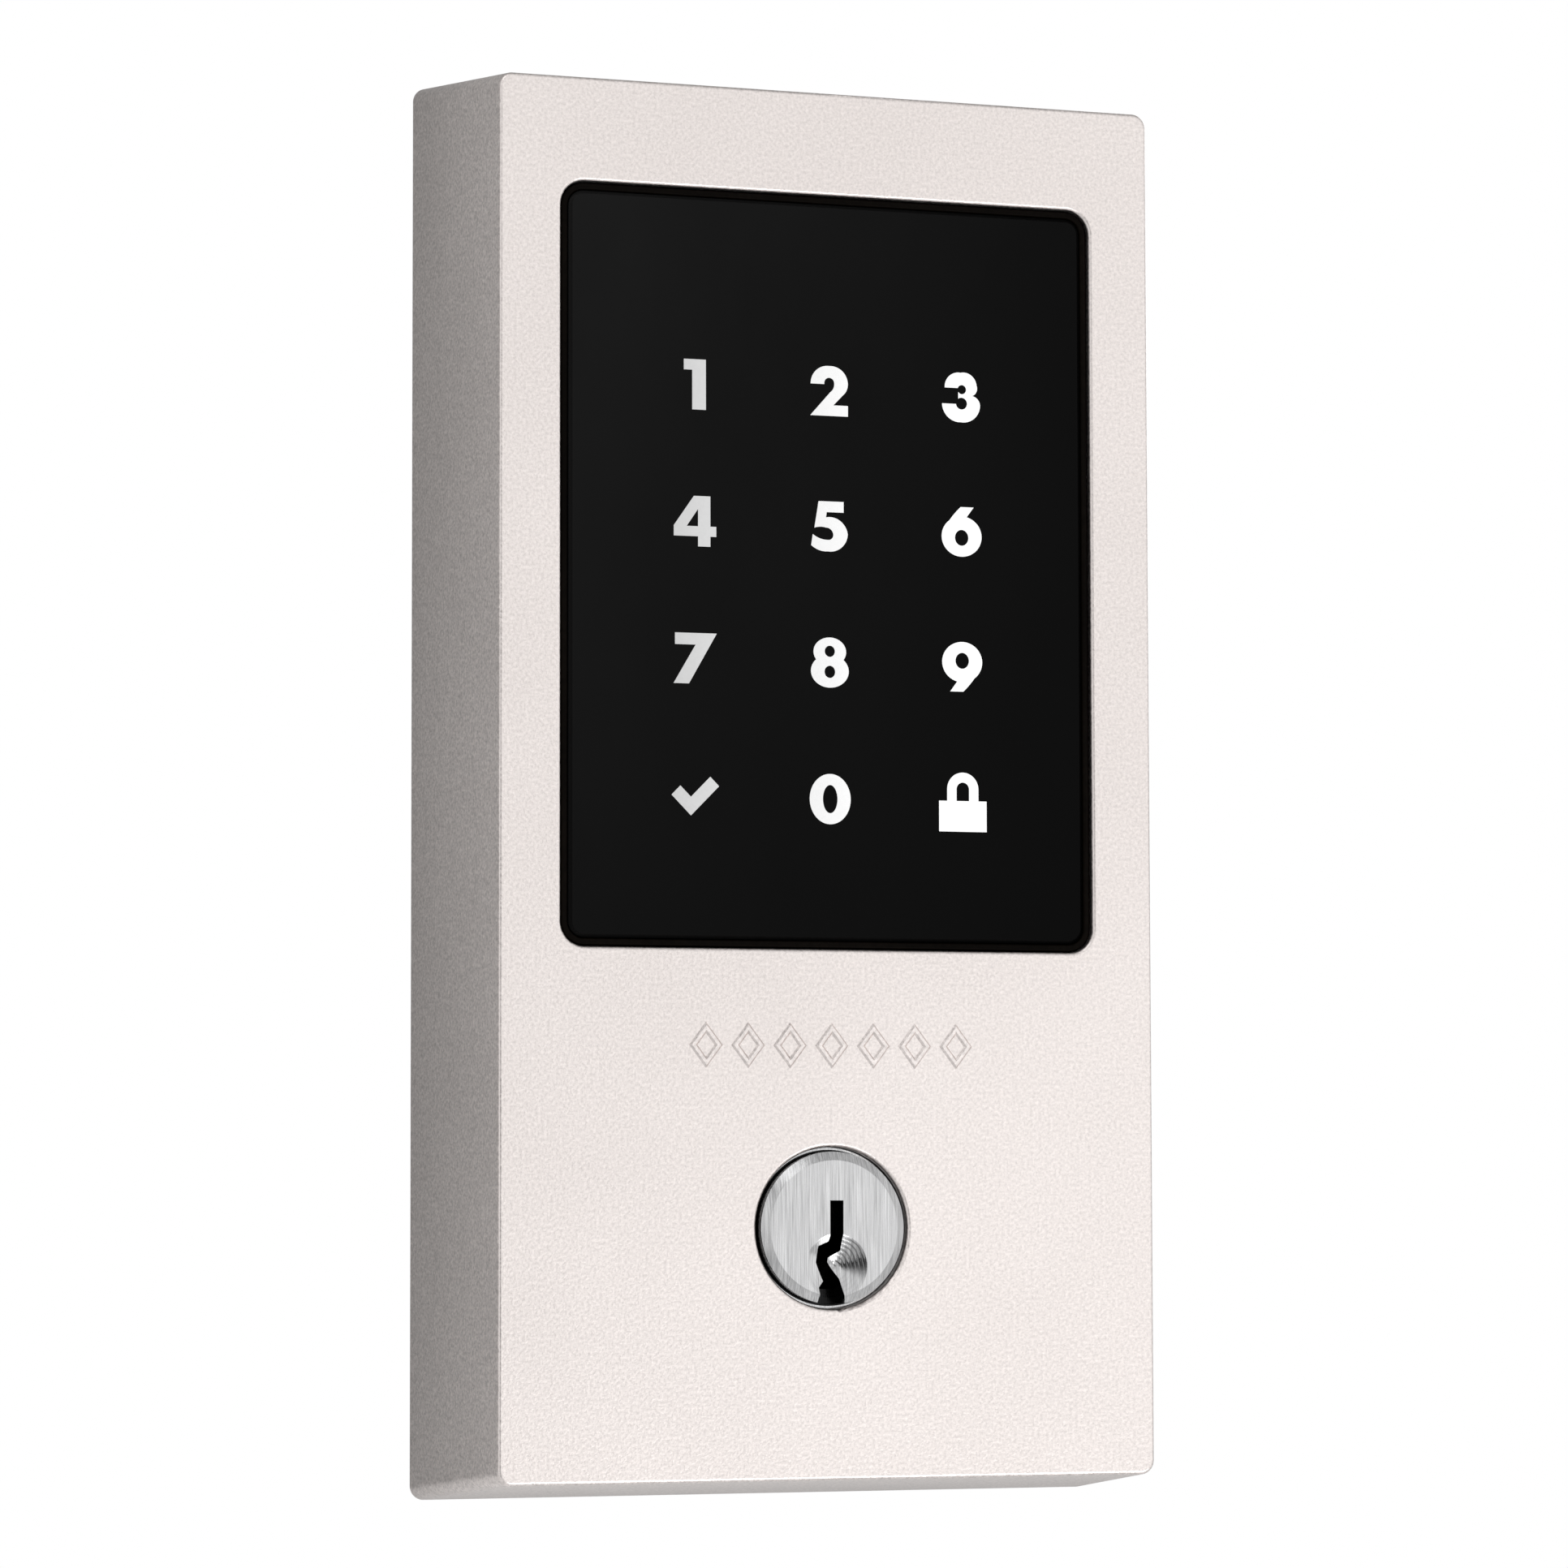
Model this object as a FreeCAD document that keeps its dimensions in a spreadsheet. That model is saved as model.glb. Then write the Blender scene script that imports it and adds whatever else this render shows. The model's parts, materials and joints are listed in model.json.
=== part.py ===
"""Exterior unit of a keypad deadbolt lock, as a FreeCAD document.

The unit is screwed to the outside of a door. It is a drafted die-cast housing with a touch keypad in a
rectangular opening, and a pin tumbler lock cylinder below it. A steel back plate closes the housing.

Frame: +Z up, +X to the right as seen by someone facing the lock, +Y into the door. The origin is on the
lock cylinder's axis, in the plane of the door's face. A "depth" is a distance in front of the door's
face, so a point at depth d has Y = -d, and what stands in the door's bore has a negative depth.
"""

import FreeCAD
import Part
import Sketcher

import math
import os

from FreeCAD import Placement, Rotation, Vector

DIMENSIONS = [
    # the housing
    ("plate_width", 73.0, "front face, side to side"),
    ("plate_height", 146.0, "front face, bottom to top"),
    ("axis_height", 26.2, "cylinder axis above the front face's bottom edge"),
    ("projection", 24.0, "depth of the front face"),
    ("rim_gap", 0.4, "depth of the housing's rear rim, which the door gasket keeps off the door"),
    ("draft", 2.4, "how far each side stands out at the rim, past the front face's edge"),
    ("wall", 2.2, "housing wall"),
    ("corner", 1.5, "radius of the housing's four long corners"),
    ("edge_round", 0.4, "round where the front face turns into the sides"),
    ("lip_round", 0.4, "round on the lips of the opening and of the cylinder hole"),
    ("cover_boss", 2.4, "radius of the bosses for the rear cover's screws"),
    ("cover_hole", 6.0, "depth of the holes in those bosses"),
    # the keypad opening and what fills it
    ("opening_width", 59.5, "keypad opening"),
    ("opening_height", 79.8, "keypad opening"),
    ("opening_z", 69.0, "centre of the keypad opening above the cylinder axis"),
    ("opening_corner", 2.6, "corner radius of the opening"),
    ("bezel_gap", 0.15, "between the housing and the carrier's bezel"),
    ("bezel_width", 0.7, "width of the bezel round the glass"),
    ("bezel_recess", 0.5, "bezel below the front face"),
    ("bezel_round", 0.2, "round on the bezel's edges"),
    ("glass_gap", 0.1, "between the bezel and the glass"),
    ("glass_recess", 0.3, "glass below the front face"),
    ("glass_thick", 2.0, "touch glass"),
    ("glass_bevel", 0.35, "bevel round the front of the glass"),
    ("ink_thick", 0.06, "printed symbols"),
    ("tape_thick", 0.2, "adhesive ring behind the glass"),
    ("tape_trim", 0.2, "adhesive ring inside the edge of the glass"),
    ("tape_clearance", 0.3, "adhesive ring outside the edge of the light window"),
    ("shelf", 2.6, "how far the carrier's shelf reaches in behind the glass"),
    ("window_corner", 1.0, "corner radius of the light window in the carrier"),
    ("seal_thick", 0.6, "keypad seal between the carrier's flange and the front wall"),
    ("seal_trim", 0.2, "keypad seal inside the edge of the flange"),
    ("seal_clearance", 0.3, "keypad seal outside the edge of the opening"),
    ("flange_reach", 3.45, "how far the carrier's flange reaches past the opening at the sides"),
    ("flange_rise", 3.0, "how far the carrier's flange reaches past the opening above and below"),
    ("flange_thick", 1.8, "carrier flange"),
    ("flange_corner", 3.6, "corner radius of the carrier's flange"),
    ("guide_gap", 0.2, "round the light guide"),
    ("guide_thick", 1.4, "light guide"),
    ("guide_back_gap", 0.1, "between the glass and the light guide"),
    ("board_width", 59.0, "circuit board"),
    ("board_height", 77.0, "circuit board"),
    ("board_thick", 1.6, "circuit board"),
    ("board_corner", 1.5, "corner radius of the circuit board"),
    ("board_screw_x", 27.9, "board screws, from the middle"),
    ("board_screw_z", 37.0, "board screws, above and below the opening's centre"),
    ("board_screw_gap", 0.1, "round the board screws in the board"),
    ("board_screw_reach", 1.4, "board screws in the carrier"),
    ("board_screw_hole", 1.6, "depth of the board screws' holes in the carrier"),
    ("cover_side", 1.2, "rear cover inside the edge of the carrier's flange"),
    ("cover_wall", 1.4, "rear cover"),
    ("cover_corner", 3.0, "corner radius of the rear cover"),
    ("cover_back", 10.0, "depth of the rear cover's back"),
    ("ear_back", 13.5, "depth of the back of the rear cover's ears"),
    ("ear_thick", 1.5, "ears of the rear cover"),
    ("ear_x", 20.0, "rear cover screws, from the middle"),
    ("ear_z", 45.5, "rear cover screws, above and below the opening's centre"),
    ("ear_radius", 3.0, "ears of the rear cover"),
    ("ear_corner", 2.9, "corner radius of the ears"),
    ("slot_width", 16.0, "slot for the cable in the rear cover"),
    ("slot_height", 12.0, "slot for the cable in the rear cover"),
    ("slot_corner", 2.0, "corner radius of that slot"),
    ("slot_drop", 38.5, "middle of that slot below the opening's centre"),
    ("slot_reach", 4.4, "depth of that slot from the cover's back"),
    # what stands on the circuit board: x from the middle, z from the opening's centre
    ("led_length", 2.0, "backlight LED"),
    ("led_width", 1.25, "backlight LED"),
    ("led_thick", 0.6, "backlight LED"),
    ("chip_side", 10.0, "touch controller"),
    ("chip_thick", 1.4, "touch controller"),
    ("chip_x", -12.0, "touch controller"),
    ("chip_z", 12.0, "touch controller"),
    ("can_width", 13.0, "processor module"),
    ("can_height", 17.0, "processor module"),
    ("can_thick", 2.2, "processor module"),
    ("can_x", 12.0, "processor module"),
    ("can_z", 14.0, "processor module"),
    ("buzzer_radius", 6.0, "buzzer"),
    ("buzzer_thick", 4.0, "buzzer"),
    ("buzzer_hole", 1.0, "radius and depth of the hole in the buzzer"),
    ("buzzer_x", 12.0, "buzzer"),
    ("buzzer_z", -10.0, "buzzer"),
    ("socket_width", 14.0, "harness socket"),
    ("socket_height", 8.0, "harness socket"),
    ("socket_thick", 5.5, "harness socket"),
    ("socket_wall", 0.8, "harness socket"),
    ("socket_end", 1.5, "closed end of the harness socket"),
    ("socket_z", -31.0, "harness socket"),
    ("contact_count", 5, "contacts in the harness socket"),
    ("contact_pitch", 2.0, "between contacts"),
    ("contact_side", 0.5, "square contacts"),
    ("contact_length", 4.5, "contacts"),
    ("capacitor_radius", 2.0, "capacitors"),
    ("capacitor_length", 5.0, "capacitors"),
    ("capacitor_pitch", 6.5, "between the two capacitors"),
    ("capacitor_x", -12.75, "middle of the pair"),
    ("capacitor_z", -12.0, "capacitors"),
    # the symbols on the glass
    ("column_pitch", 15.0, "between columns of symbols"),
    ("row_pitch", 14.4, "between rows of symbols"),
    ("top_row", 88.1, "height of the first row"),
    ("symbol_height", 5.3, "digits"),
    # raised ornament between the keypad and the cylinder
    ("ornament_z", 19.0, "middle of the row of lozenges"),
    ("ornament_pitch", 4.65, "between lozenges"),
    ("ornament_width", 3.7, "each lozenge"),
    ("ornament_height", 4.8, "each lozenge"),
    ("ornament_stroke", 0.9, "raised line at its foot, measured across the lozenge"),
    ("ornament_rise", 0.22, "above the front face"),
    ("ornament_chamfer", 0.2, "chamfer on the raised line's edges"),
    ("ornament_count", 7, "lozenges"),
    # lock cylinder
    ("plug_radius", 6.35, "turning plug"),
    ("plug_clearance", 0.05, "plug in its bore"),
    ("head_radius", 7.95, "plug's head, the disc that shows"),
    ("head_thick", 3.0, "plug's head"),
    ("head_proud", 0.6, "plug's head in front of the front face"),
    ("head_bevel", 0.9, "bevel on the head, measured on its face"),
    ("head_bevel_drop", 0.5, "bevel on the head, measured along the axis"),
    ("nose_radius", 8.35, "cylinder's nose round the plug's head"),
    ("nose_recess", 1.3, "nose below the front face"),
    ("nose_hole", 8.45, "radius of the hole in the housing"),
    ("shoulder_radius", 12.0, "cylinder's shoulder, which bears on the front wall"),
    ("shoulder_thick", 2.0, "cylinder's shoulder"),
    ("barrel_radius", 9.4, "outside of the cylinder"),
    ("barrel_back", -3.6, "depth of the cylinder's rear end"),
    ("tower_width", 6.4, "tower over the barrel, which holds the driver pins"),
    ("tower_foot", 7.4, "bottom of the tower, inside the barrel"),
    ("tower_top", 15.2, "top of the tower"),
    ("tower_corner", 0.5, "corner radius of the tower"),
    ("tower_back", -0.5, "depth of the tower's rear end"),
    ("plug_back", -6.0, "depth of the plug's rear end"),
    ("keyway_back", 0.8, "depth where the keyway ends"),
    ("funnel_radius", 3.42, "countersink that leads the key in"),
    ("funnel_drop", 0.95, "depth of the countersink"),
    ("funnel_x", 0.25, "middle of the countersink"),
    ("funnel_z", -4.0, "middle of the countersink"),
    ("first_pin", 17.8, "depth of the first pin"),
    ("pin_pitch", 3.81, "between pins"),
    ("pin_radius", 1.45, "key pins and driver pins"),
    ("chamber_radius", 1.5, "pin chambers"),
    ("chamber_floor", -0.6, "bottom of the chambers in the plug"),
    ("shear_drop", 0.2, "top of a key pin below the plug's surface"),
    ("driver_length", 4.4, "driver pins"),
    ("driver_gap", 0.05, "driver pin above the plug"),
    ("pin_point", 0.8, "height of a key pin's tapered point"),
    ("spring_radius", 1.2, "pin springs, to the middle of the wire"),
    ("spring_wire", 0.15, "radius of the spring wire"),
    ("spring_turns", 6, "pin springs"),
    ("strip_width", 4.2, "strip that closes the pin chambers"),
    ("strip_thick", 0.8, "strip that closes the pin chambers"),
    ("strip_stop", 1.0, "between the strip and the shoulder"),
    ("groove_front", -3.7, "depth of the plug's clip groove"),
    ("groove_width", 0.9, "plug's clip groove"),
    ("groove_radius", 5.5, "bottom of the plug's clip groove"),
    ("clip_radius", 8.0, "outside of the clip"),
    ("clip_thick", 0.8, "plug clip"),
    ("clip_mouth", 7.0, "opening of the clip"),
    ("clip_play", 0.05, "clip in its groove"),
    ("socket_radius", 4.2, "socket in the plug's rear end"),
    ("socket_floor", -2.6, "depth of the socket's floor"),
    ("cam_thick", 1.4, "driver disc in the plug's socket"),
    ("cam_fit", 0.01, "between the driver disc and the socket"),
    ("blade_width", 5.6, "torque blade"),
    ("blade_thick", 2.0, "torque blade"),
    ("blade_back", -64.0, "depth of the torque blade's end"),
    ("blade_head_radius", 4.0, "round head of the blade"),
    ("blade_head_thick", 1.6, "round head of the blade"),
    ("blade_head_gap", 0.2, "between the blade's head and the driver disc"),
    ("blade_point", 3.0, "length of the blade's tapered end"),
    ("blade_shrink", 0.8, "how much the end narrows on each edge"),
    ("blade_clearance", 0.1, "blade in the driver disc"),
    ("free_play", 90.0, "turn that the blade is free to make in the driver disc, in degrees"),
    # clamp that holds the cylinder
    ("yoke_width", 38.0, "yoke plate"),
    ("yoke_height", 32.0, "yoke plate"),
    ("yoke_z", 3.0, "middle of the yoke plate"),
    ("yoke_thick", 1.5, "yoke plate"),
    ("yoke_corner", 3.0, "corner radius of the yoke plate"),
    ("yoke_screw_x", 14.9, "yoke screws, from the middle"),
    ("yoke_boss", 2.6, "radius of the bosses under the yoke"),
    ("yoke_grip", 0.9, "yoke screws in the front wall"),
    # back plate and what it carries
    ("plate_gap", 0.45, "between the back plate and the housing"),
    ("plate_back", 0.6, "depth of the back plate's rear face"),
    ("plate_thick", 1.5, "back plate"),
    ("boss_x", 30.5, "back plate screws, from the middle"),
    ("boss_top", 114.9, "upper pair of back plate screws"),
    ("boss_middle", 22.4, "middle pair of back plate screws"),
    ("boss_bottom", -20.6, "lower pair of back plate screws"),
    ("boss_radius", 2.8, "screw bosses"),
    ("screw_radius", 1.5, "M3 screws"),
    ("screw_length", 8.0, "M3 screws, under the head"),
    ("screw_head", 2.75, "radius of the M3 heads"),
    ("screw_head_thick", 1.4, "M3 heads"),
    ("screw_clearance", 0.15, "round an M3 screw or its head in a plate"),
    ("recess_radius", 0.9, "drive recess of the M3 heads"),
    ("recess_depth", 0.8, "drive recess of the M3 heads"),
    ("flat_head_thick", 0.85, "flat heads of the back plate's screws"),
    ("flat_head_seat", 0.9, "depth of their seats in the back plate"),
    ("flat_recess_depth", 0.6, "drive recess of the flat heads"),
    ("flat_grip", 6.5, "back plate's screws in their bosses"),
    ("small_screw_radius", 1.0, "M2 board screws"),
    ("small_screw_head", 1.9, "radius of the M2 heads"),
    ("small_head_thick", 1.0, "M2 heads"),
    ("door_seal_width", 2.0, "door gasket ring"),
    ("door_seal_inset", 0.7, "door gasket inside the edge of the back plate"),
    ("door_seal_corner", 2.0, "outer corner radius of the door gasket"),
    ("bore_ring_radius", 18.8, "centring ring in the door's bore"),
    ("bore_ring_wall", 1.3, "centring ring"),
    ("bore_ring_back", -6.0, "depth of the centring ring's end"),
    ("bore_ring_flange", 21.5, "radius of the centring ring's flange"),
    ("bore_ring_flange_thick", 0.5, "centring ring's flange"),
    ("bore_ring_chamfer", 0.5, "end of the centring ring"),
    ("post_x", 13.8, "mounting posts, from the middle"),
    ("post_radius", 3.3, "mounting posts"),
    ("post_hole", 2.0, "thread in the mounting posts"),
    ("post_fit", 0.02, "round the mounting posts in the back plate"),
    ("post_back", -12.0, "depth of the mounting posts' ends"),
    ("post_head_radius", 4.3, "swaged head of a mounting post"),
    ("post_head_thick", 1.0, "swaged head of a mounting post"),
    ("outlet_width", 11.0, "cable outlet in the back plate"),
    ("outlet_height", 5.4, "cable outlet in the back plate"),
    ("outlet_corner", 1.5, "corner radius of the cable outlet"),
    ("outlet_z", -13.5, "middle of the cable outlet"),
    ("barrel_clearance", 0.3, "round the cylinder where it passes a plate"),
    # how far a cutting solid stands out of what it cuts
    ("over", 1.0, "cutting solids"),
]

# lengths of the five key pins, front to back, as one key's cuts need them
KEY_PIN_LENGTHS = (3.9, 5.1, 4.3, 5.5, 4.7)

XZ = "XZ_Plane"
YZ = "YZ_Plane"

doc = FreeCAD.newDocument("keypad_lock")
sheet = doc.addObject("Spreadsheet::Sheet", "dim")
pieces = []


def fill_sheet():
    """One row for each dimension: its alias, its value and what it is."""
    for row, (alias, number, note) in enumerate(DIMENSIONS, start=1):
        sheet.set(f"A{row}", alias)
        sheet.set(f"B{row}", str(number))
        sheet.set(f"C{row}", note)
        sheet.setAlias(f"B{row}", alias)
    doc.recompute()


# ---------------------------------------------------------------------------------------------------
# Helpers. Every size that they take is an expression on the sheet, as text.
# ---------------------------------------------------------------------------------------------------


def value(expression):
    """The number that an expression on the sheet has now."""
    return float(sheet.evalExpression(str(expression)))


def bind(item, **expressions):
    """Binds properties to expressions. Two underscores in a name stand for a dot."""
    for name, expression in expressions.items():
        item.setExpression(name.replace("__", "."), str(expression))


def keep(item, label):
    """Marks a finished piece, which gets a file of its own."""
    item.Label = label
    pieces.append(item)
    return item


def new_body(label):
    body = doc.addObject("PartDesign::Body", label)
    keep(body, label)
    return body


def new_sketch(body, name, depth="0", role=XZ, x="0", z="0"):
    """A sketch whose plane is at a depth and whose own origin is at x and z."""
    plane = next(f for f in body.Origin.OriginFeatures if f.Role == role)
    sketch = body.newObject("Sketcher::SketchObject", name)
    sketch.AttachmentSupport = [(plane, "")]
    sketch.MapMode = "FlatFace"
    bind(
        sketch,
        AttachmentOffset__Base__x=x,
        AttachmentOffset__Base__y=z,
        AttachmentOffset__Base__z=depth,
    )
    return sketch


def constrain(sketch, kind, *arguments, size=None):
    """Adds a constraint. With size, its value is bound to that expression."""
    if size is None:
        sketch.addConstraint(Sketcher.Constraint(kind, *arguments))
        return
    number = value(size)
    index = sketch.addConstraint(Sketcher.Constraint(kind, *arguments, number))
    sketch.renameConstraint(index, f"size{index}")
    sketch.setExpression(f"Constraints.size{index}", str(size))


def draw_circle(sketch, radius, x="0", z="0"):
    circle = Part.Circle(Vector(value(x), value(z), 0), Vector(0, 0, 1), value(radius))
    index = sketch.addGeometry(circle)
    constrain(sketch, "DistanceX", -1, 1, index, 3, size=x)
    constrain(sketch, "DistanceY", -1, 1, index, 3, size=z)
    constrain(sketch, "Radius", index, size=radius)
    return index


def draw_rounded_rectangle(sketch, width, height, radius):
    """A rectangle round the sketch's own origin: lines anticlockwise from the bottom, then corner arcs."""
    half_w = value(width) / 2
    half_h = value(height) / 2
    r = value(radius)
    centres = [
        Vector(half_w - r, r - half_h, 0),
        Vector(half_w - r, half_h - r, 0),
        Vector(r - half_w, half_h - r, 0),
        Vector(r - half_w, r - half_h, 0),
    ]
    lines = []
    arcs = []
    for side in range(4):
        outward = Rotation(Vector(0, 0, 1), 90 * side).multVec(Vector(0, -r, 0))
        start = centres[side - 1] + outward
        lines.append(sketch.addGeometry(Part.LineSegment(start, centres[side] + outward)))
    for side in range(4):
        circle = Part.Circle(centres[side], Vector(0, 0, 1), r)
        first = math.radians(90 * (side - 1))
        arcs.append(sketch.addGeometry(Part.ArcOfCircle(circle, first, first + math.pi / 2)))
    for side in range(4):
        constrain(sketch, "Tangent", lines[side], 2, arcs[side], 1)
        constrain(sketch, "Tangent", arcs[side], 2, lines[(side + 1) % 4], 1)
        constrain(sketch, ("Horizontal", "Vertical")[side % 2], lines[side])
    for arc in arcs[1:]:
        constrain(sketch, "Equal", arcs[0], arc)
    constrain(sketch, "Symmetric", lines[0], 1, lines[2], 1, -1, 1)
    constrain(sketch, "DistanceX", lines[3], 1, lines[1], 1, size=width)
    constrain(sketch, "DistanceY", lines[0], 1, lines[2], 1, size=height)
    constrain(sketch, "Radius", arcs[0], size=radius)


def draw_profile(sketch, corners):
    """A closed polygon. Each corner is a pair of expressions, measured from the sketch's own origin."""
    points = [Vector(value(x), value(z), 0) for x, z in corners]
    lines = []
    for here, there in zip(points, points[1:] + points[:1]):
        lines.append(sketch.addGeometry(Part.LineSegment(here, there)))
    for line, following in zip(lines, lines[1:] + lines[:1]):
        constrain(sketch, "Coincident", line, 2, following, 1)
    for line, (x, z) in zip(lines, corners):
        constrain(sketch, "DistanceX", -1, 1, line, 1, size=x)
        constrain(sketch, "DistanceY", -1, 1, line, 1, size=z)


def volume_of(body):
    doc.recompute()
    return 0.0 if body.Tip is None or body.Shape.isNull() else body.Shape.Volume


def pad(body, name, sketch, length):
    """Adds material from the sketch towards the front."""
    feature = body.newObject("PartDesign::Pad", name)
    feature.Profile = sketch
    bind(feature, Length=length)
    doc.recompute()
    return feature


def pocket(body, name, sketch, length, towards_front=False):
    """Takes material away from the sketch towards the door, or towards the front."""
    before = volume_of(body)
    feature = body.newObject("PartDesign::Pocket", name)
    feature.Profile = sketch
    feature.Reversed = towards_front
    bind(feature, Length=length)
    if volume_of(body) >= before:
        raise RuntimeError(f"{name} cuts nothing")
    return feature


def loft(body, name, kind, profile, section):
    feature = body.newObject(f"PartDesign::{kind}", name)
    feature.Profile = profile
    feature.Sections = [section]
    feature.Ruled = True
    doc.recompute()
    return feature


def turn(body, name, kind, sketch):
    """A full turn of a half section that is drawn on the YZ plane, about the Y axis."""
    before = volume_of(body)
    feature = body.newObject(f"PartDesign::{kind}", name)
    feature.Profile = sketch
    feature.ReferenceAxis = (sketch, ["H_Axis"])
    feature.Angle = 360
    after = volume_of(body)
    if (after - before) * (-1 if kind == "Groove" else 1) <= 0:
        raise RuntimeError(f"{name} changes nothing")
    return feature


def dress(body, name, kind, size, chosen):
    """A fillet or chamfer on the edges of the body for which chosen(edge) is true."""
    doc.recompute()
    base = body.Tip
    edges = [f"Edge{i}" for i, edge in enumerate(base.Shape.Edges, start=1) if chosen(edge)]
    if not edges:
        raise RuntimeError(f"{name} found no edges")
    feature = body.newObject(f"PartDesign::{kind}", name)
    feature.Base = (base, edges)
    bind(feature, **{"Radius" if kind == "Fillet" else "Size": size})
    doc.recompute()
    return feature


def at_depth(edge, depth):
    """True for an edge that lies wholly in the plane at that depth."""
    box = edge.BoundBox
    y = -value(depth)
    return abs(box.YMin - y) < 1e-4 and abs(box.YMax - y) < 1e-4


def within(edge, half_width, low, high):
    """True for an edge inside a window that is centred on the Z axis."""
    box = edge.BoundBox
    inside = abs(box.XMin) < half_width and abs(box.XMax) < half_width
    return inside and low < box.ZMin and box.ZMax < high


def rod(name, radius, back, front, x="0", z="0"):
    """A cylinder along Y between two depths."""
    item = doc.addObject("Part::Cylinder", name)
    item.Placement = Placement(Vector(), Rotation(Vector(1, 0, 0), 90))
    bind(
        item,
        Radius=radius,
        Height=f"({front}) - ({back})",
        Placement__Base__x=x,
        Placement__Base__y=f"-({back})",
        Placement__Base__z=z,
    )
    return item


def upright(name, radius, low, high, depth):
    """A cylinder along Z at a depth."""
    item = doc.addObject("Part::Cylinder", name)
    bind(
        item,
        Radius=radius,
        Height=f"({high}) - ({low})",
        Placement__Base__y=f"-({depth})",
        Placement__Base__z=low,
    )
    return item


def block(name, width, height, back, front, x="0", z="0"):
    """A box between two depths, centred on x and z."""
    item = doc.addObject("Part::Box", name)
    bind(
        item,
        Length=width,
        Width=f"({front}) - ({back})",
        Height=height,
        Placement__Base__x=f"({x}) - ({width}) / 2",
        Placement__Base__y=f"-({front})",
        Placement__Base__z=f"({z}) - ({height}) / 2",
    )
    return item


def fuse(name, shapes):
    item = doc.addObject("Part::MultiFuse", name)
    item.Shapes = shapes
    return item


def cut(name, base, tool):
    item = doc.addObject("Part::Cut", name)
    item.Base = base
    item.Tool = tool
    return item


def group(name, shapes):
    """Separate solids that share one node."""
    item = doc.addObject("Part::Compound", name)
    item.Links = shapes
    return item


# Expressions that several pieces share.
FRONT = "dim.projection"
WALL_BACK = "dim.projection - dim.wall"
MIDDLE = "dim.plate_height / 2 - dim.axis_height"
FLANGE_FRONT = f"{WALL_BACK} - dim.seal_thick"
FLANGE_BACK = f"{FLANGE_FRONT} - dim.flange_thick"
GLASS_FRONT = "dim.projection - dim.glass_recess"
GLASS_BACK = f"{GLASS_FRONT} - dim.glass_thick"
SHELF_FRONT = f"{GLASS_BACK} - dim.tape_thick"
GLASS_INSET = "dim.bezel_gap + dim.bezel_width + dim.glass_gap"
GLASS_WIDTH = f"dim.opening_width - 2 * ({GLASS_INSET})"
GLASS_HEIGHT = f"dim.opening_height - 2 * ({GLASS_INSET})"
GLASS_CORNER = f"dim.opening_corner - ({GLASS_INSET})"
FLANGE_WIDTH = "dim.opening_width + 2 * dim.flange_reach"
FLANGE_HEIGHT = "dim.opening_height + 2 * dim.flange_rise"
WINDOW_WIDTH = f"{GLASS_WIDTH} - 2 * dim.shelf"
WINDOW_HEIGHT = f"{GLASS_HEIGHT} - 2 * dim.shelf"
BOARD_BACK = f"{FLANGE_BACK} - dim.board_thick"
SHOULDER_BACK = f"{WALL_BACK} - dim.shoulder_thick"
YOKE_BACK = f"{SHOULDER_BACK} - dim.yoke_thick"
PLATE_FRONT = "dim.plate_back + dim.plate_thick"
PLATE_SPREAD = "dim.draft - dim.wall - dim.plate_gap"
NOSE_FRONT = "dim.projection - dim.nose_recess"
HEAD_FRONT = "dim.projection + dim.head_proud"
HEAD_BACK = f"{HEAD_FRONT} - dim.head_thick"
BORE_RADIUS = "dim.plug_radius + dim.plug_clearance"
SPRING_TOP = "dim.tower_top - dim.strip_thick"
STRIP_FRONT = f"{SHOULDER_BACK} - dim.strip_stop"
DRIVER_FOOT = f"{BORE_RADIUS} + dim.driver_gap - dim.plug_clearance"
DRIVER_TOP = f"{DRIVER_FOOT} + dim.driver_length"
KEY_PIN_TOP = "dim.plug_radius - dim.shear_drop"
PLATE_SCREWS = [
    (f"{side} * dim.boss_x", height)
    for height in ("dim.boss_top", "dim.boss_middle", "dim.boss_bottom")
    for side in (-1, 1)
]
COVER_SCREWS = [
    (f"{side} * dim.ear_x", f"dim.opening_z + {end} * dim.ear_z") for end in (-1, 1) for side in (-1, 1)
]
BOARD_SCREWS = [
    (f"{side} * dim.board_screw_x", f"dim.opening_z + {end} * dim.board_screw_z")
    for end in (-1, 1)
    for side in (-1, 1)
]
YOKE_SCREWS = [(f"{side} * dim.yoke_screw_x", "0") for side in (-1, 1)]
KEY_CENTRES = [
    (f"{column - 1} * dim.column_pitch", f"dim.top_row - {row} * dim.row_pitch")
    for row in range(4)
    for column in range(3)
]
PIN_DEPTHS = [f"dim.first_pin - {i} * dim.pin_pitch" for i in range(len(KEY_PIN_LENGTHS))]


# ---------------------------------------------------------------------------------------------------
# Housing
# ---------------------------------------------------------------------------------------------------


def rectangle_at(body, name, depth, width, height, corner, z):
    sketch = new_sketch(body, name, depth, z=z)
    draw_rounded_rectangle(sketch, width, height, corner)
    return sketch


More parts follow.
